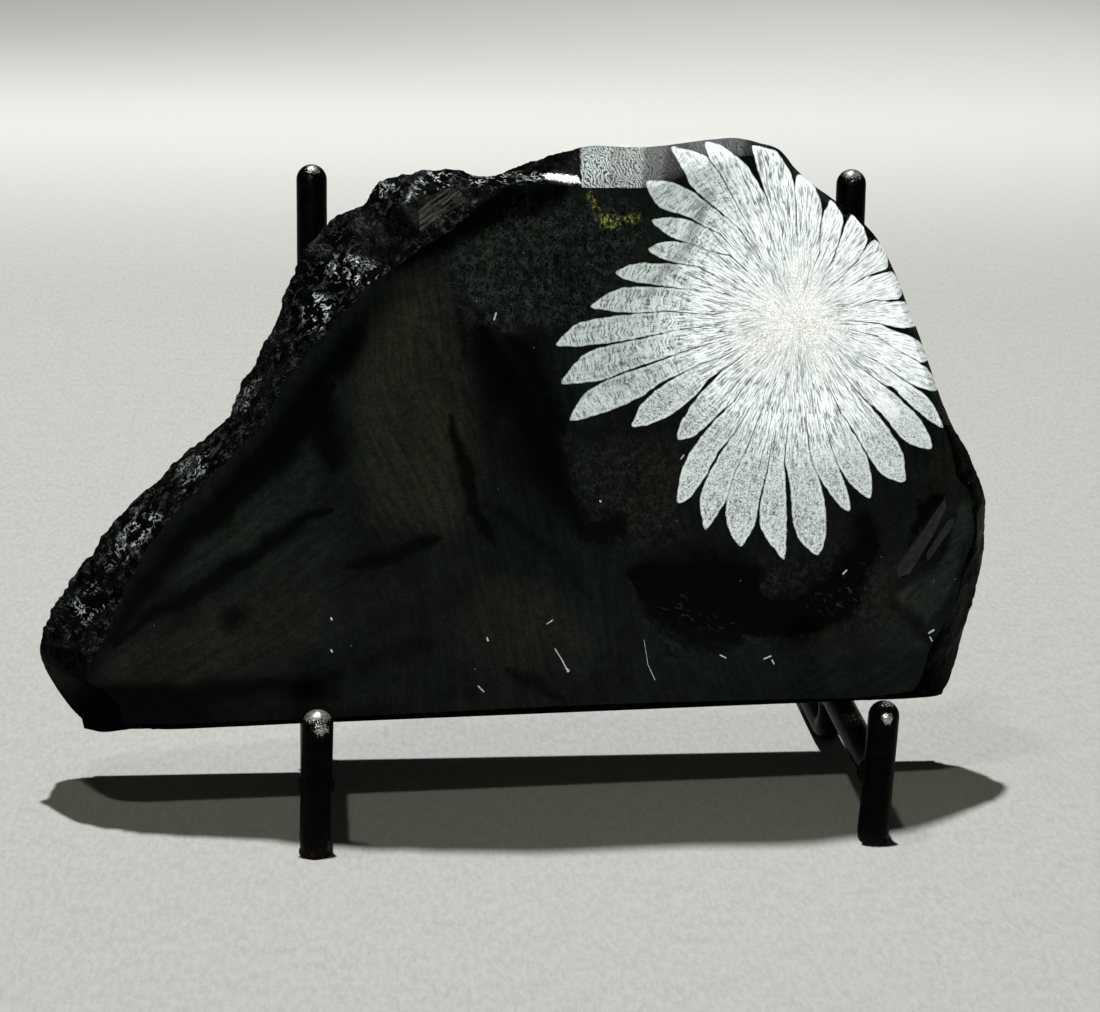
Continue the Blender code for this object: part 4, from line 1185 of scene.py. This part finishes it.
    # ---- sides, back to the sawn plane
    verts = [tuple(p) for p in front]
    faces = [tuple(int(x) for x in t) for t in tris]
    kinds = np.where(in_petal & ~in_seam, 3, np.where(in_petal & in_seam, 4, np.where(face_mid, 0, 1)))
    for ring in chips:
        kinds = np.where(inside(mid, ring) & (kinds == 0), 10, kinds)
    kinds = np.where(in_nick & (kinds == 0), 9, kinds)
    kinds = list(kinds)
    P = np.stack([uo, vo], 1)
    P = pts[outer_id][:, :2]
    rim_w = pts[outer_id][:, 2]
    thick = np.array([back_thickness(x, y) for x, y in P])
    m = 22
    rings = []
    hard = rough[:, None]
    for k in range(1, m + 1):
        s = k / m
        w = rim_w + (thick - 1.0 - rim_w) * s
        ins = np.interp(s, [0, 0.2, 0.6, 1], [0, 0.35, 0.9, 1.7]) * np.ones(n)
        q = np.column_stack([P, w])
        ins = ins + np.where(low, 0.0, smooth(0, 0.12, s) * 0.5)
        q[:, 0] -= out_u * ins
        q[:, 1] -= out_v * ins
        rings.append(q)
    allq = np.concatenate(rings)
    lowq = np.tile(low, m)
    cut = np.zeros(len(allq))
    mask = ~lowq
    qq = allq[mask]
    side_area = float(area) * 0 + float((np.hypot(du, dv) / 2).sum()) * 18
    cut[mask] = (scars(qq, 8.5, 1.3, side_area, 21) + scars(qq, 3.4, 0.55, side_area, 22)
                 + scars(qq, 1.7, 0.22, side_area, 23)
                 + field(qq, 0.7, 8, 2) * 0.12)
    side_ridge = np.zeros(len(allq))
    side_ridge[mask] = smooth(0.2, -0.3, cut[mask] - 0.9)
    fade = np.concatenate([np.full(n, smooth(0, 0.14, k / m)) for k in range(1, m + 1)])
    cut = (cut * 0.75 + 0.25) * fade
    allq[:, 0] -= np.tile(out_u, m) * cut
    allq[:, 1] -= np.tile(out_v, m) * cut
    allq = rest_on_base(allq, lowq)
    start = len(verts)
    verts += [tuple(p) for p in allq]
    prev = rim
    for k in range(m):
        cur = [start + k * n + i for i in range(n)]
        for i in range(n):
            j = (i + 1) % n
            faces.append((prev[i], prev[j], cur[j], cur[i]))
            kinds.append(2 if low[i] or low[j] else 1)
        prev = cur
    # arris of the sawn back, then the back itself
    last = allq[-n:].copy()
    inn = np.where(low, 0.0, 1.0)
    brk = np.abs(field(last, 0.3, 9, 2)) * 1.5
    back = last.copy()
    back[:, 0] -= out_u * (0.8 + brk) * inn
    back[:, 1] -= out_v * (0.8 + brk) * inn
    back[low, 1] += 0.8
    back[:, 2] = [back_thickness(x, y) for x, y in back[:, :2]]
    start = len(verts)
    verts += [tuple(p) for p in back]
    cur = [start + i for i in range(n)]
    for i in range(n):
        j = (i + 1) % n
        faces.append((prev[i], prev[j], cur[j], cur[i]))
        kinds.append(1)
    poly = back[:, :2]
    gp = 2.6
    gu, gv = np.meshgrid(np.arange(poly[:, 0].min(), poly[:, 0].max(), gp),
                         np.arange(poly[:, 1].min() + 1, poly[:, 1].max(), gp))
    grid = np.stack([gu.ravel(), gv.ravel()], 1)
    grid = grid[inside(grid, poly)]
    grid = grid[to_line(grid, poly[::3], True) > 1.2]
    cc = [tuple(p) for p in poly] + [tuple(p) for p in grid]
    out = delaunay_2d_cdt([Vector(c) for c in cc], [(i, (i + 1) % n) for i in range(n)], [], 0, 1e-7, True)
    bc = np.array([tuple(v) for v in out[0]])
    bt = np.array([f for f in out[2] if len(f) == 3])
    bmid = bc[bt].mean(1)
    bt = bt[inside(bmid, poly)]
    new = {}
    for i, src in enumerate(out[3]):
        rimsrc = [s for s in src if s < n]
        if rimsrc:
            new[i] = cur[rimsrc[0]]
    for i in np.unique(bt):
        if int(i) not in new:
            x, y = bc[i]
            new[int(i)] = len(verts)
            verts.append((x, y, back_thickness(x, y)))
    for t in bt:
        p3 = bc[t]
        s = (p3[1, 0] - p3[0, 0]) * (p3[2, 1] - p3[0, 1]) - (p3[1, 1] - p3[0, 1]) * (p3[2, 0] - p3[0, 0])
        ids = [new[int(x)] for x in t]
        if len(set(ids)) < 3:
            continue
        # facing away from the viewer: opposite turn to the front
        want = (RIGHT.cross(UP).dot(INTO) > 0)
        if (s > 0) != want:
            ids.reverse()
        faces.append(tuple(ids))
        kinds.append(2)

    # ---- what each place looks like
    V = np.array(verts)
    N = len(V)
    nf = len(front)
    pix = picture(V)
    fm = np.zeros(N, bool)
    fm[:nf] = True
    attrs = {k: np.zeros(N) for k in ("brown", "teal", "tone", "diag", "leather", "scratch", "streak",
                                      "gold", "gleam_highlight", "bevel_highlight", "margin", "smudge", "milk",
                                      "ridge", "glint", "hollow", "silk_glint")}
    F = pix[:nf]
    w1 = field(V[:nf], 0.12, 31, 2)
    w2 = field(V[:nf], 0.5, 32, 2)
    bend = F + np.column_stack([w1, field(V[:nf], 0.12, 35, 2)]) * 9.0 + np.column_stack([w2, w1]) * 1.5

    def zone(poly, soft, grow=0.0):
        """1 inside a polygon of the picture, fading over soft px."""
        poly = np.array(poly, float)
        d = to_line(bend, poly, True)
        d = np.where(inside(bend, poly), d, -d) + grow
        return smooth(-soft, soft, d)

    def stroke(line, r0, r1):
        return smooth(r1, r0, to_line(bend, np.array(line, float)))

    tone = 0.70 + 0.28 * w1
    for poly, soft, gain in ZONES_TONE:
        tone = tone + gain * zone(poly, soft)
    attrs["tone"][:nf] = np.clip(tone, 0.05, 4)
    for key, table in (("brown", ZONES_BROWN), ("teal", ZONES_TEAL), ("diag", ZONES_DIAG),
                       ("leather", ZONES_LEATHER)):
        total = np.zeros(nf)
        for poly, soft, gain in table:
            total = np.maximum(total, gain * zone(poly, soft))
        attrs[key][:nf] = total
    attrs["scratch"][:nf] = 0.10 + 0.85 * stroke(((412, 350), (418, 440), (408, 510)), 25, 75)
    d_g = to_line(F, np.array([(590, 193), (595, 207), (603, 219), (613, 225)], float))
    d_h = np.minimum(to_line(F, np.array([(603, 219), (616, 223)], float)) - 3,
                     to_line(F, np.array([(612, 222), (636, 218)], float)))
    attrs["gold"][:nf] = np.maximum(smooth(5, 1, d_g) * 0.7, smooth(5.5, 1, d_h))
    hollow = np.zeros(nf)
    for poly in HOLLOWS:
        poly = np.array(poly, float)
        near_h = F + np.column_stack([w1 * 6 + w2 * 4, w2 * 4 - w1 * 2])
        d = to_line(near_h, poly, True)
        hollow = np.maximum(hollow, smooth(-9, 9, np.where(inside(near_h, poly), d, -d)))
    attrs["hollow"][:nf] = hollow
    # painted glints: how strongly the shining wrinkles of the hollows are painted
    silk_glint = np.zeros(nf)
    for poly in SILK_GLINTS:
        poly = np.array(poly, float)
        d = to_line(F, poly, True)
        silk_glint = np.maximum(silk_glint, smooth(-3, 7, np.where(inside(F, poly), d, -d)))
    attrs["silk_glint"][:nf] = silk_glint * 0.6
    streak = np.zeros(nf)
    for line, half, strength in VEINS:
        knots = np.array(line, float)
        lens = np.concatenate([[0], np.cumsum(np.hypot(*np.diff(knots, axis=0).T))])
        m = max(6, int(lens[-1] / 3.0))
        at = np.linspace(0, lens[-1], m)
        dots = np.column_stack([np.interp(at, lens, knots[:, 0]), np.interp(at, lens, knots[:, 1])])
        t = at / lens[-1]
        wide = half * (0.30 + 0.70 * np.sin(np.pi * t) ** 0.7)
        wide = wide * (1.0 + 0.45 * np.array([noise.noise(Vector((x * 0.035, y * 0.035, half))) for x, y in dots]))
        best = np.full(nf, 99.0)
        for (x, y), h in zip(dots, wide):
            best = np.minimum(best, np.hypot(bend[:, 0] - x, bend[:, 1] - y) / h)
        streak = np.maximum(streak, strength * smooth(3.0, 0.0, best))
    attrs["streak"][:nf] = np.maximum(streak, smooth(0.2, 0.8, field(V[:nf], 0.06, 33, 3)) * 0.45)
    # margins of petals
    fl = np.unique(tris[in_petal])
    dist = np.full(len(fl), 9.0)
    for line in petal_polys:
        dist = np.minimum(dist, to_line(front[fl, :2], line[::1]))
    rr = np.hypot(*(front[fl, :2] - heart).T)
    attrs["margin"][fl] = np.clip(dist / 1.6, 0, 1)
    crack = np.array(A((640, 230), (590, 360), (545, 460), (450, 545), (420, 600)))
    dc = to_line(pix[fl], crack)
    attrs["smudge"][fl] = smooth(9.0, 2.0, dc + 4 * field(front[fl], 1.2, 34)) * 0.5
    oval = np.array(B((1305, 375), (1355, 435)))
    attrs["milk"][fl] = smooth(9, 4, to_line(pix[fl], oval)) * 0.5
    attrs["ridge"][:nf] = np.where(owner >= 0, ridge[np.maximum(owner, 0)], 0)
    attrs["ridge"][nf:nf + len(allq)] = side_ridge * 0.6

    # ---- ground margin at the top, facets of the broken skin
    TOP = np.array([(580, 148), (590, 140), (700, 138), (745, 134), (765, 140), (800, 170), (900, 270),
                    (952, 415), (946, 440), (925, 380), (880, 260), (780, 164), (740, 160), (700, 176),
                    (650, 192), (590, 192), (582, 190)], float)
    GREY = np.array([(416.6, 200), (456, 186), (466, 201), (438, 217), (420, 234), (419, 216)], float)
    GLEAM = np.array([(541, 174.5), (552, 173.5), (566, 174.5), (578, 177), (581, 183), (570, 183),
                      (556, 180.5), (546, 179)], float)
    CORNER = np.array([(36, 655), (82, 678), (121, 694), (124, 727), (95, 735), (50, 700)], float)
    RIM = np.array([(940, 425), (990, 425), (992, 700), (900, 705), (905, 680)], float)
    mp = picture(np.column_stack([mid, front[tris][:, :, 2].mean(1)]))
    kinds = np.array(kinds)
    nt = len(tris)
    kf = kinds[:nt]
    band = kf == 1
    kf[inside(mp, TOP) & band] = 5
    kf[inside(mp, GREY) & band] = 6
    # painted shade: the lower left corner and the right rim get a darker copy of the broken skin
    kf[inside(mp, CORNER) & band] = 8
    kf[inside(mp, RIM) & band] = 8
    kinds[:nt] = kf
    # painted shade: the strip along the underside gets the darker copy too
    narrow = np.isin(kf, (1,)) & (mid[:, 1] < 3.0)
    kinds[:nt][narrow] = 8

    def soft(poly, soften, amount, wander=0.0):
        pts_f = F + np.column_stack([w1, w2]) * wander
        poly = np.array(poly, float)
        d = to_line(pts_f, poly, True)
        return amount * smooth(-soften, soften, np.where(inside(pts_f, poly), d, -d))

    # painted highlight on the ground bevel at the top
    for poly, amount in ((((580, 140), (613, 140), (609, 195), (579, 195)), 0.50),
                         (((606, 140), (646, 140), (642, 195), (606, 195)), 0.34),
                         (((640, 140), (668, 140), (660, 195), (640, 195)), 0.10),
                         (((583, 182), (640, 184), (640, 192), (583, 192)), 0.60)):
        attrs["bevel_highlight"][:nf] = np.maximum(attrs["bevel_highlight"][:nf], soft(poly, 3.0, amount))
    attrs["bevel_highlight"][:nf] = np.maximum(attrs["bevel_highlight"][:nf], np.where((F[:, 0] > 690) & (F[:, 0] < 745), 0.08, 0.0))
    # painted highlight: where the gleam along the top edge is painted
    attrs["gleam_highlight"][:nf] = np.where(on_face, 0.0, soft(GLEAM, 3.6, 1.0))
    # painted glints: how much of the fold-line glint pattern each part of the broken skin gets
    glint = np.where(on_face, 0.0, 0.05)
    for poly, soften, amount in (
            (((404, 203), (412, 186), (426, 172), (450, 170), (456, 182), (436, 190), (420, 198)), 4, 0.9),
            (((322, 264), (338, 256), (358, 258), (384, 268), (372, 290), (346, 284), (330, 280)), 5, 1.0),
            (((302, 292), (318, 294), (334, 304), (322, 330), (304, 328)), 4, 0.9),
            (((236, 396), (262, 376), (250, 410), (238, 414)), 5, 0.35),
            (((176, 466), (208, 448), (204, 474), (186, 490)), 5, 0.45),
            (((116, 536), (142, 505), (162, 516), (128, 560), (106, 568)), 6, 0.62),
            (((70, 604), (96, 584), (106, 604), (84, 624)), 5, 0.60),
            (((470, 172), (510, 173), (545, 172), (545, 181), (470, 184)), 2.5, 0.9),
            (((372, 186), (400, 178), (400, 190), (376, 200)), 4, 0.6)):
        glint = np.maximum(glint, soft(poly, soften, amount, 3.0))
    for poly, soften in ((((400, 205), (416, 200), (422, 236), (380, 268), (362, 246)), 7),
                         (((520, 150), (580, 140), (580, 168), (520, 172)), 2),
                         (((40, 640), (80, 650), (125, 690), (125, 735), (40, 735)), 6)):
        glint = glint * (1 - soft(poly, soften, 0.9))
    glint = glint * (1 - soft(GREY, 2, 1.0))
    attrs["glint"][:nf] = np.where(on_face, 0.0, glint)
    attrs["glint"][nf:nf + len(allq)] = 0.20

    mats = [STONE, BROKEN, SAWN, FLOWER, SEAM, BEVEL, GREYSKIN, BROKEN, SHADED_FACET, NICK, FACET]
    # local axes: right, up the face, out of the face
    M = Matrix((
        (RIGHT.x, UP.x, -INTO.x, (ORIGIN.x + SHIFT.x) * MM),
        (RIGHT.y, UP.y, -INTO.y, (ORIGIN.y + SHIFT.y) * MM),
        (RIGHT.z, UP.z, -INTO.z, (ORIGIN.z + SHIFT.z) * MM),
        (0, 0, 0, 1)))
    obj = finish_mesh("chrysanthemum_stone", V * [MM, MM, -MM], faces, mats, kinds, 34.0, M, attrs, set(border))
    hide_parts("stone")
    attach(obj, "root")
    print("stone", len(V), "vertices", len(faces), "faces")
    return obj


# ------------------------------------------------------------------ the stand
def tube(name, node, path, radii, sides=None, wear_and_highlight=None, rust=None, cap=(False, False)):
    """A rod swept along a path (mm, stand frame).  A cap ends in a dome;
    otherwise the end is a flat disc."""
    sides = sides or (40)
    path = [Vector(p) for p in path]
    radii = list(radii)
    n = len(path)
    tangents = []
    for i in range(n):
        a, b = path[max(i - 1, 0)], path[min(i + 1, n - 1)]
        tangents.append((b - a).normalized())
    t = tangents[0]
    first = Vector((0, 0, -1)) if abs(t.z) < 0.8 else Vector((0, -1, 0))
    ax = (first - t * first.dot(t)).normalized()
    verts, rings = [], []

    def put(c, ax, t, r):
        bx = t.cross(ax)
        ids = []
        for s in range(sides):
            a = 2 * math.pi * s / sides
            d = ax * math.cos(a) + bx * math.sin(a)
            p = c + d * r
            k = noise.noise(Vector(p) * 0.35) * 0.035 + noise.noise(Vector(p) * 1.1) * 0.012
            ids.append(len(verts))
            verts.append(p + d * min(0.0, k) if r > 0.5 else p)
        rings.append(ids)

    def dome(c, ax, t, r, sign):
        steps = 9
        seq = [k / steps for k in range(1, steps)]
        if sign < 0:
            seq = seq[::-1]
        for s in seq:
            a = s * math.pi / 2
            put(c + t * (sign * r * math.sin(a)), ax, t, r * math.cos(a))

    if cap[0]:
        dome(path[0], ax, t, radii[0], -1)
    for i in range(n):
        t = tangents[i]
        ax = (ax - t * ax.dot(t)).normalized()
        put(path[i], ax, t, radii[i])
    if cap[1]:
        dome(path[-1], ax, t, radii[-1], 1)
    faces = []
    for a, b in zip(rings, rings[1:]):
        for s in range(sides):
            e = (s + 1) % sides
            faces.append((a[s], a[e], b[e], b[s]))
    p0 = path[0] - tangents[0] * (radii[0] if cap[0] else 0)
    verts.append(p0)
    c0 = len(verts) - 1
    faces += [(rings[0][(s + 1) % sides], rings[0][s], c0) for s in range(sides)]
    p1 = path[-1] + tangents[-1] * (radii[-1] if cap[1] else 0)
    verts.append(p1)
    c1 = len(verts) - 1
    faces += [(rings[-1][s], rings[-1][(s + 1) % sides], c1) for s in range(sides)]
    attrs = {"wear_and_highlight": [wear_and_highlight(v) if wear_and_highlight else 0.0 for v in verts],
             "rust": [rust(v) if rust else 0.0 for v in verts]}
    obj = finish_mesh(name, [v * MM for v in verts], faces, [PAINT], None, 50.0,
                      Matrix.Translation(SHIFT * MM), attrs)
    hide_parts(node)
    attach(obj, "root")
    return obj


def upright_y(z):
    return 45.0 + (z - 14.6) * math.tan(LEAN)


def upright_axis(side, z):
    foot, top = ((-57.85, -57.6), (58.6, 57.05))[side > 0]
    k = z / 129.7
    return Vector((foot * (1 - k) + top * k, upright_y(z), z))


def near(centre, a, b, amount=1.0):
    centre = Vector(centre)

    def f(v):
        return amount * float(smooth(b, a, (Vector(v) - centre).length))
    return f


def both(*fs):
    return lambda v: min(1.0, max(f(v) for f in fs))


def build_stand():
    R = ROD_R
    # front posts
    for side, lean, foot in ((-1, 0.028, ((0.0, 3.0), (0.15, 3.2), (0.4, 3.24), (0.75, 3.2), (1.0, 3.02),
                                          (1.5, 2.99), (2.2, 3.04), (3.4, R))),
                             (1, 0.005, ((0.0, 2.55), (0.25, 2.9), (0.7, 3.14), (1.4, 3.25), (3.0, 3.28),
                                         (5.5, 3.27), (8.0, R)))):
        base = 31.8 - R
        zs = [z for z, _ in foot] + list(np.linspace(foot[-1][0] + 1.5, base, 16))
        rs = [r for _, r in foot] + [R] * 16
        path = [(side * POST_X + lean * z, 0.0, z) for z in zs]
        top = Vector((side * POST_X + lean * 31.8, 0, 31.8))
        if side < 0:
            wear_and_highlight = both(near(top, 1.2, 4.4, 1.0),
                        near((-POST_X + 1.6, -2.6, 29.0), 0.5, 2.6, 0.66))
        else:
            # worn paint, and a painted highlight: the second bare-metal spot is put where the dome shows the lamp
            wear_and_highlight = both(near(top + Vector((0.6, -0.4, 0)), 0.2, 2.6, 0.58),
                        near((POST_X + 0.15, -2.7, 29.3), 0.5, 1.7, 0.9))
        rust = both(near(path[0], 2.5, 5.5, 0.7), near((side * POST_X, 2.5, 14.0), 2.5, 5.0, 0.6))
        tube("%s_front_post_rod" % ("left" if side < 0 else "right"),
             "%s_front_post" % ("left" if side < 0 else "right"), path, rs, None, wear_and_highlight, rust,
             (False, True))
    # ledges, flared where they are welded
    for side, z, lean in ((-1, LEDGE_Z[0], 0.028), (1, LEDGE_Z[1], 0.005)):
        y0, y1 = R - 0.25, upright_y(z) - R + 0.25
        ys = sorted(set(list(np.linspace(y0, y0 + 3.0, 9)) + list(np.linspace(y0 + 3.0, y1 - 3.0, 16))
                        + list(np.linspace(y1 - 3.0, y1, 9))))
        path, rs = [], []
        for y in ys:
            k = (y - y0) / (y1 - y0)
            x = (side * POST_X + lean * z) * (1 - k) + side * POST_X * k
            path.append((x, y, z))
            e = min(y - y0, y1 - y)
            lump = 0.10 * noise.noise(Vector((y * 1.7, z, side)))
            rs.append(R + max(0.0, 0.62 + lump) * max(0.0, 1 - e / 1.7) ** 1.5)
        nm = "left" if side < 0 else "right"
        rust = both(near(path[0], 2.5, 5.5, 0.75), near(path[-1], 2.5, 5.5, 0.75))
        wear_and_highlight = near((side * POST_X + 1.2, 22, z + 2.9), 1.5, 7.0, 0.30)
        # the bead stays below the stone's flat underside
        tube(nm + "_ledge_rod", nm + "_ledge", path, rs, None, wear_and_highlight, rust)
    # rear feet with their bend, and the uprights
    turn = math.pi / 2 + LEAN
    for side in (-1, 1):
        nm = "left" if side < 0 else "right"
        low = upright_axis(side, R)
        centre = low + Vector((0, 5.5 * math.tan(turn / 2), 5.5))
        steps = 16
        arc = []
        for k in range(steps + 1):
            a = turn * (1 - k / steps)
            arc.append(centre + Vector((0, -math.sin(a), -math.cos(a))) * 5.5)
        back = [Vector((low.x, y, R)) for y in np.linspace(centre.y + 2, 88.0 - R, 14)]
        path = arc + back
        rust = both(near(path[0], 2.0, 4.5, 0.5), near((low.x, 88.0, R), 2.0, 5.0, 0.5))
        tube(nm + "_rear_foot_rod", nm + "_rear_foot", path, [R] * len(path), None,
             near((low.x, 88.0, R + 1.5), 1.0, 4.2, 0.62), rust, (False, True))
        top = upright_axis(side, 129.7)
        foot_top = arc[0]
        axis = (top - foot_top).normalized()
        base = top - axis * R
        count = 48
        path = [foot_top + (base - foot_top) * (k / count) for k in range(count + 1)]
        if side < 0:
            wear_and_highlight = both(near(top + Vector((0.3, -1.8, -0.6)), 0.4, 2.6, 0.72),
                        near(top + Vector((0.2, -3.0, -4.0)), 0.3, 1.6, 0.62))
        else:
            wear_and_highlight = near(top + Vector((0.0, -1.2, -0.5)), 0.8, 3.6, 0.75)
        rust = both(near((low.x, upright_y(14.6), 14.6), 3.0, 6.0, 0.6),
                    near((low.x, upright_y(24), 24), 3.0, 6.0, 0.5),
                    near((low.x, upright_y(82), 82), 3.0, 6.0, 0.5))
        tube(nm + "_upright_rod", nm + "_upright", path, [R] * len(path), None, wear_and_highlight, rust,
             (False, True))
    # cross bars
    for nm, z in (("lower_cross_bar", 24.0), ("upper_cross_bar", 82.0)):
        a = upright_axis(-1, z) + Vector((R - 0.25, 0, 0))
        b = upright_axis(1, z) - Vector((R - 0.25, 0, 0))
        length = (b - a).length
        ss = sorted(set(list(np.linspace(0, 3, 8)) + list(np.linspace(3, length - 3, 40))
                        + list(np.linspace(length - 3, length, 8))))
        path, rs = [], []
        for s in ss:
            path.append(a + (b - a) * (s / length))
            e = min(s, length - s)
            lump = 0.12 * noise.noise(Vector((s * 1.3, z, 3.3)))
            rs.append(R + max(0.0, 0.55 + lump) * max(0.0, 1 - e / 1.7) ** 1.5)
        rust = both(near(a, 2.5, 5.0, 0.7), near(b, 2.5, 5.0, 0.7))
        tube(nm + "_rod", nm, path, rs, None, None, rust)


# ------------------------------------------------------------------ stage
def build_stage():
    size, cells = 9000.0, 18
    xs = np.linspace(-size, size, cells + 1)
    verts = [(x * MM, y * MM, 0.0) for y in xs for x in xs]
    k = cells + 1
    faces = [(j * k + i, j * k + i + 1, (j + 1) * k + i + 1, (j + 1) * k + i)
             for j in range(cells) for i in range(cells)]
    floor = finish_mesh("floor_sheet", verts, faces, [floor_material()])
    floor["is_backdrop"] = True
    return floor


def area_light(name, at, target, size, power, colour=(1, 1, 1), size_y=None):
    data = bpy.data.lights.new(name, "AREA")
    data.shape = "RECTANGLE" if size_y else "DISK"
    data.size = size * MM
    if size_y:
        data.size_y = size_y * MM
    data.energy = power
    data.color = colour
    obj = bpy.data.objects.new(name, data)
    bpy.context.scene.collection.objects.link(obj)
    at, target = (Vector(at) + SHIFT) * MM, (Vector(target) + SHIFT) * MM
    obj.location = at
    obj.rotation_mode = "QUATERNION"
    obj.rotation_quaternion = (target - at).to_track_quat("-Z", "Y")
    return obj


def only_for(light, objects):
    coll = bpy.data.collections.new(light.name + "_receivers")
    for o in objects:
        coll.objects.link(o)
    light.light_linking.receiver_collection = coll


def shaded_by(light, objects):
    """Only these objects throw this light's shadow."""
    coll = bpy.data.collections.new(light.name + "_blockers")
    for o in objects:
        coll.objects.link(o)
    light.light_linking.blocker_collection = coll


def build_lights(parts):
    key = area_light("key", (-87, 635, 2000), (0, 30, 0), 70, 42.0, (1.0, 0.995, 0.975))
    shaded_by(key, [o for o in parts if "front_post" not in o.name])
    area_light("over", (-430, -60, 1500), (0, 40, 0), 110, 2.7, (1.0, 0.99, 0.80))
    front = area_light("front_fill", (-250, -900, 620), (0, 30, 60), 500, 15.0, (0.97, 1.0, 1.0), 420)
    only_for(front, parts)
    world = bpy.data.worlds.new("studio")
    world.use_nodes = True
    bg = world.node_tree.nodes["Background"]
    bg.inputs["Color"].default_value = (1.0, 0.95, 0.78, 1.0)
    bg.inputs["Strength"].default_value = 0.016
    bpy.context.scene.world = world


def build_camera():
    data = bpy.data.cameras.new("photo_camera")
    data.sensor_fit = "HORIZONTAL"
    data.sensor_width = 36.0
    data.lens = 36.0 * FOCAL / 1100.0
    data.clip_start = 0.01
    data.clip_end = 60.0
    obj = bpy.data.objects.new("photo_camera", data)
    bpy.context.scene.collection.objects.link(obj)
    x = CAM_R * math.cos(ROLL) + CAM_U * math.sin(ROLL)
    y = CAM_R * -math.sin(ROLL) + CAM_U * math.cos(ROLL)
    z = -CAM_F
    at = (EYE + SHIFT) * MM
    obj.matrix_world = Matrix(((x.x, y.x, z.x, at.x), (x.y, y.y, z.y, at.y),
                               (x.z, y.z, z.z, at.z), (0, 0, 0, 1)))
    bpy.context.scene.camera = obj


STONE = polished_stone()
BROKEN = broken_stone("broken_black_skin", (0.0019, 0.0023, 0.0021), 0.13, 0.24, 0.20, ior=1.045,
                      dusty=(0.0008, 0.0010, 0.0009), glint=(0.37, 0.41, 0.395))
GREYSKIN = broken_stone("grey_hatched_skin", (0.0120, 0.0116, 0.0098), 0.4, 0.55, 0.1, 0.8, 0.62, 1.06,
                        dusty=(0.014, 0.014, 0.012), glint=(0.010, 0.010, 0.008))
# painted shade: a darker copy of the broken skin without glints, for facets that face down or away
SHADED_FACET = broken_stone("shaded_facet", (0.0002, 0.0002, 0.0002), 0.22, 0.34, 0.02, 0, 0, 1.05,
                         dusty=(0.006, 0.006, 0.006), glint=(0.05, 0.05, 0.04))
FACET = facet_stone()
NICK = nick_material()
SAWN = sawn_stone()
FLOWER = flower_material(seen(*HEART))
SEAM = seam_material()
BEVEL = bevel_stone()
PAINT = rod_paint()

stone = build_stone()
build_stand()
floor = build_stage()
parts = [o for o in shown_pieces()]
build_lights(parts)
build_camera()
bpy.context.scene.view_settings.view_transform = "Standard"
bpy.context.scene.view_settings.look = "None"
bpy.context.view_layer.update()
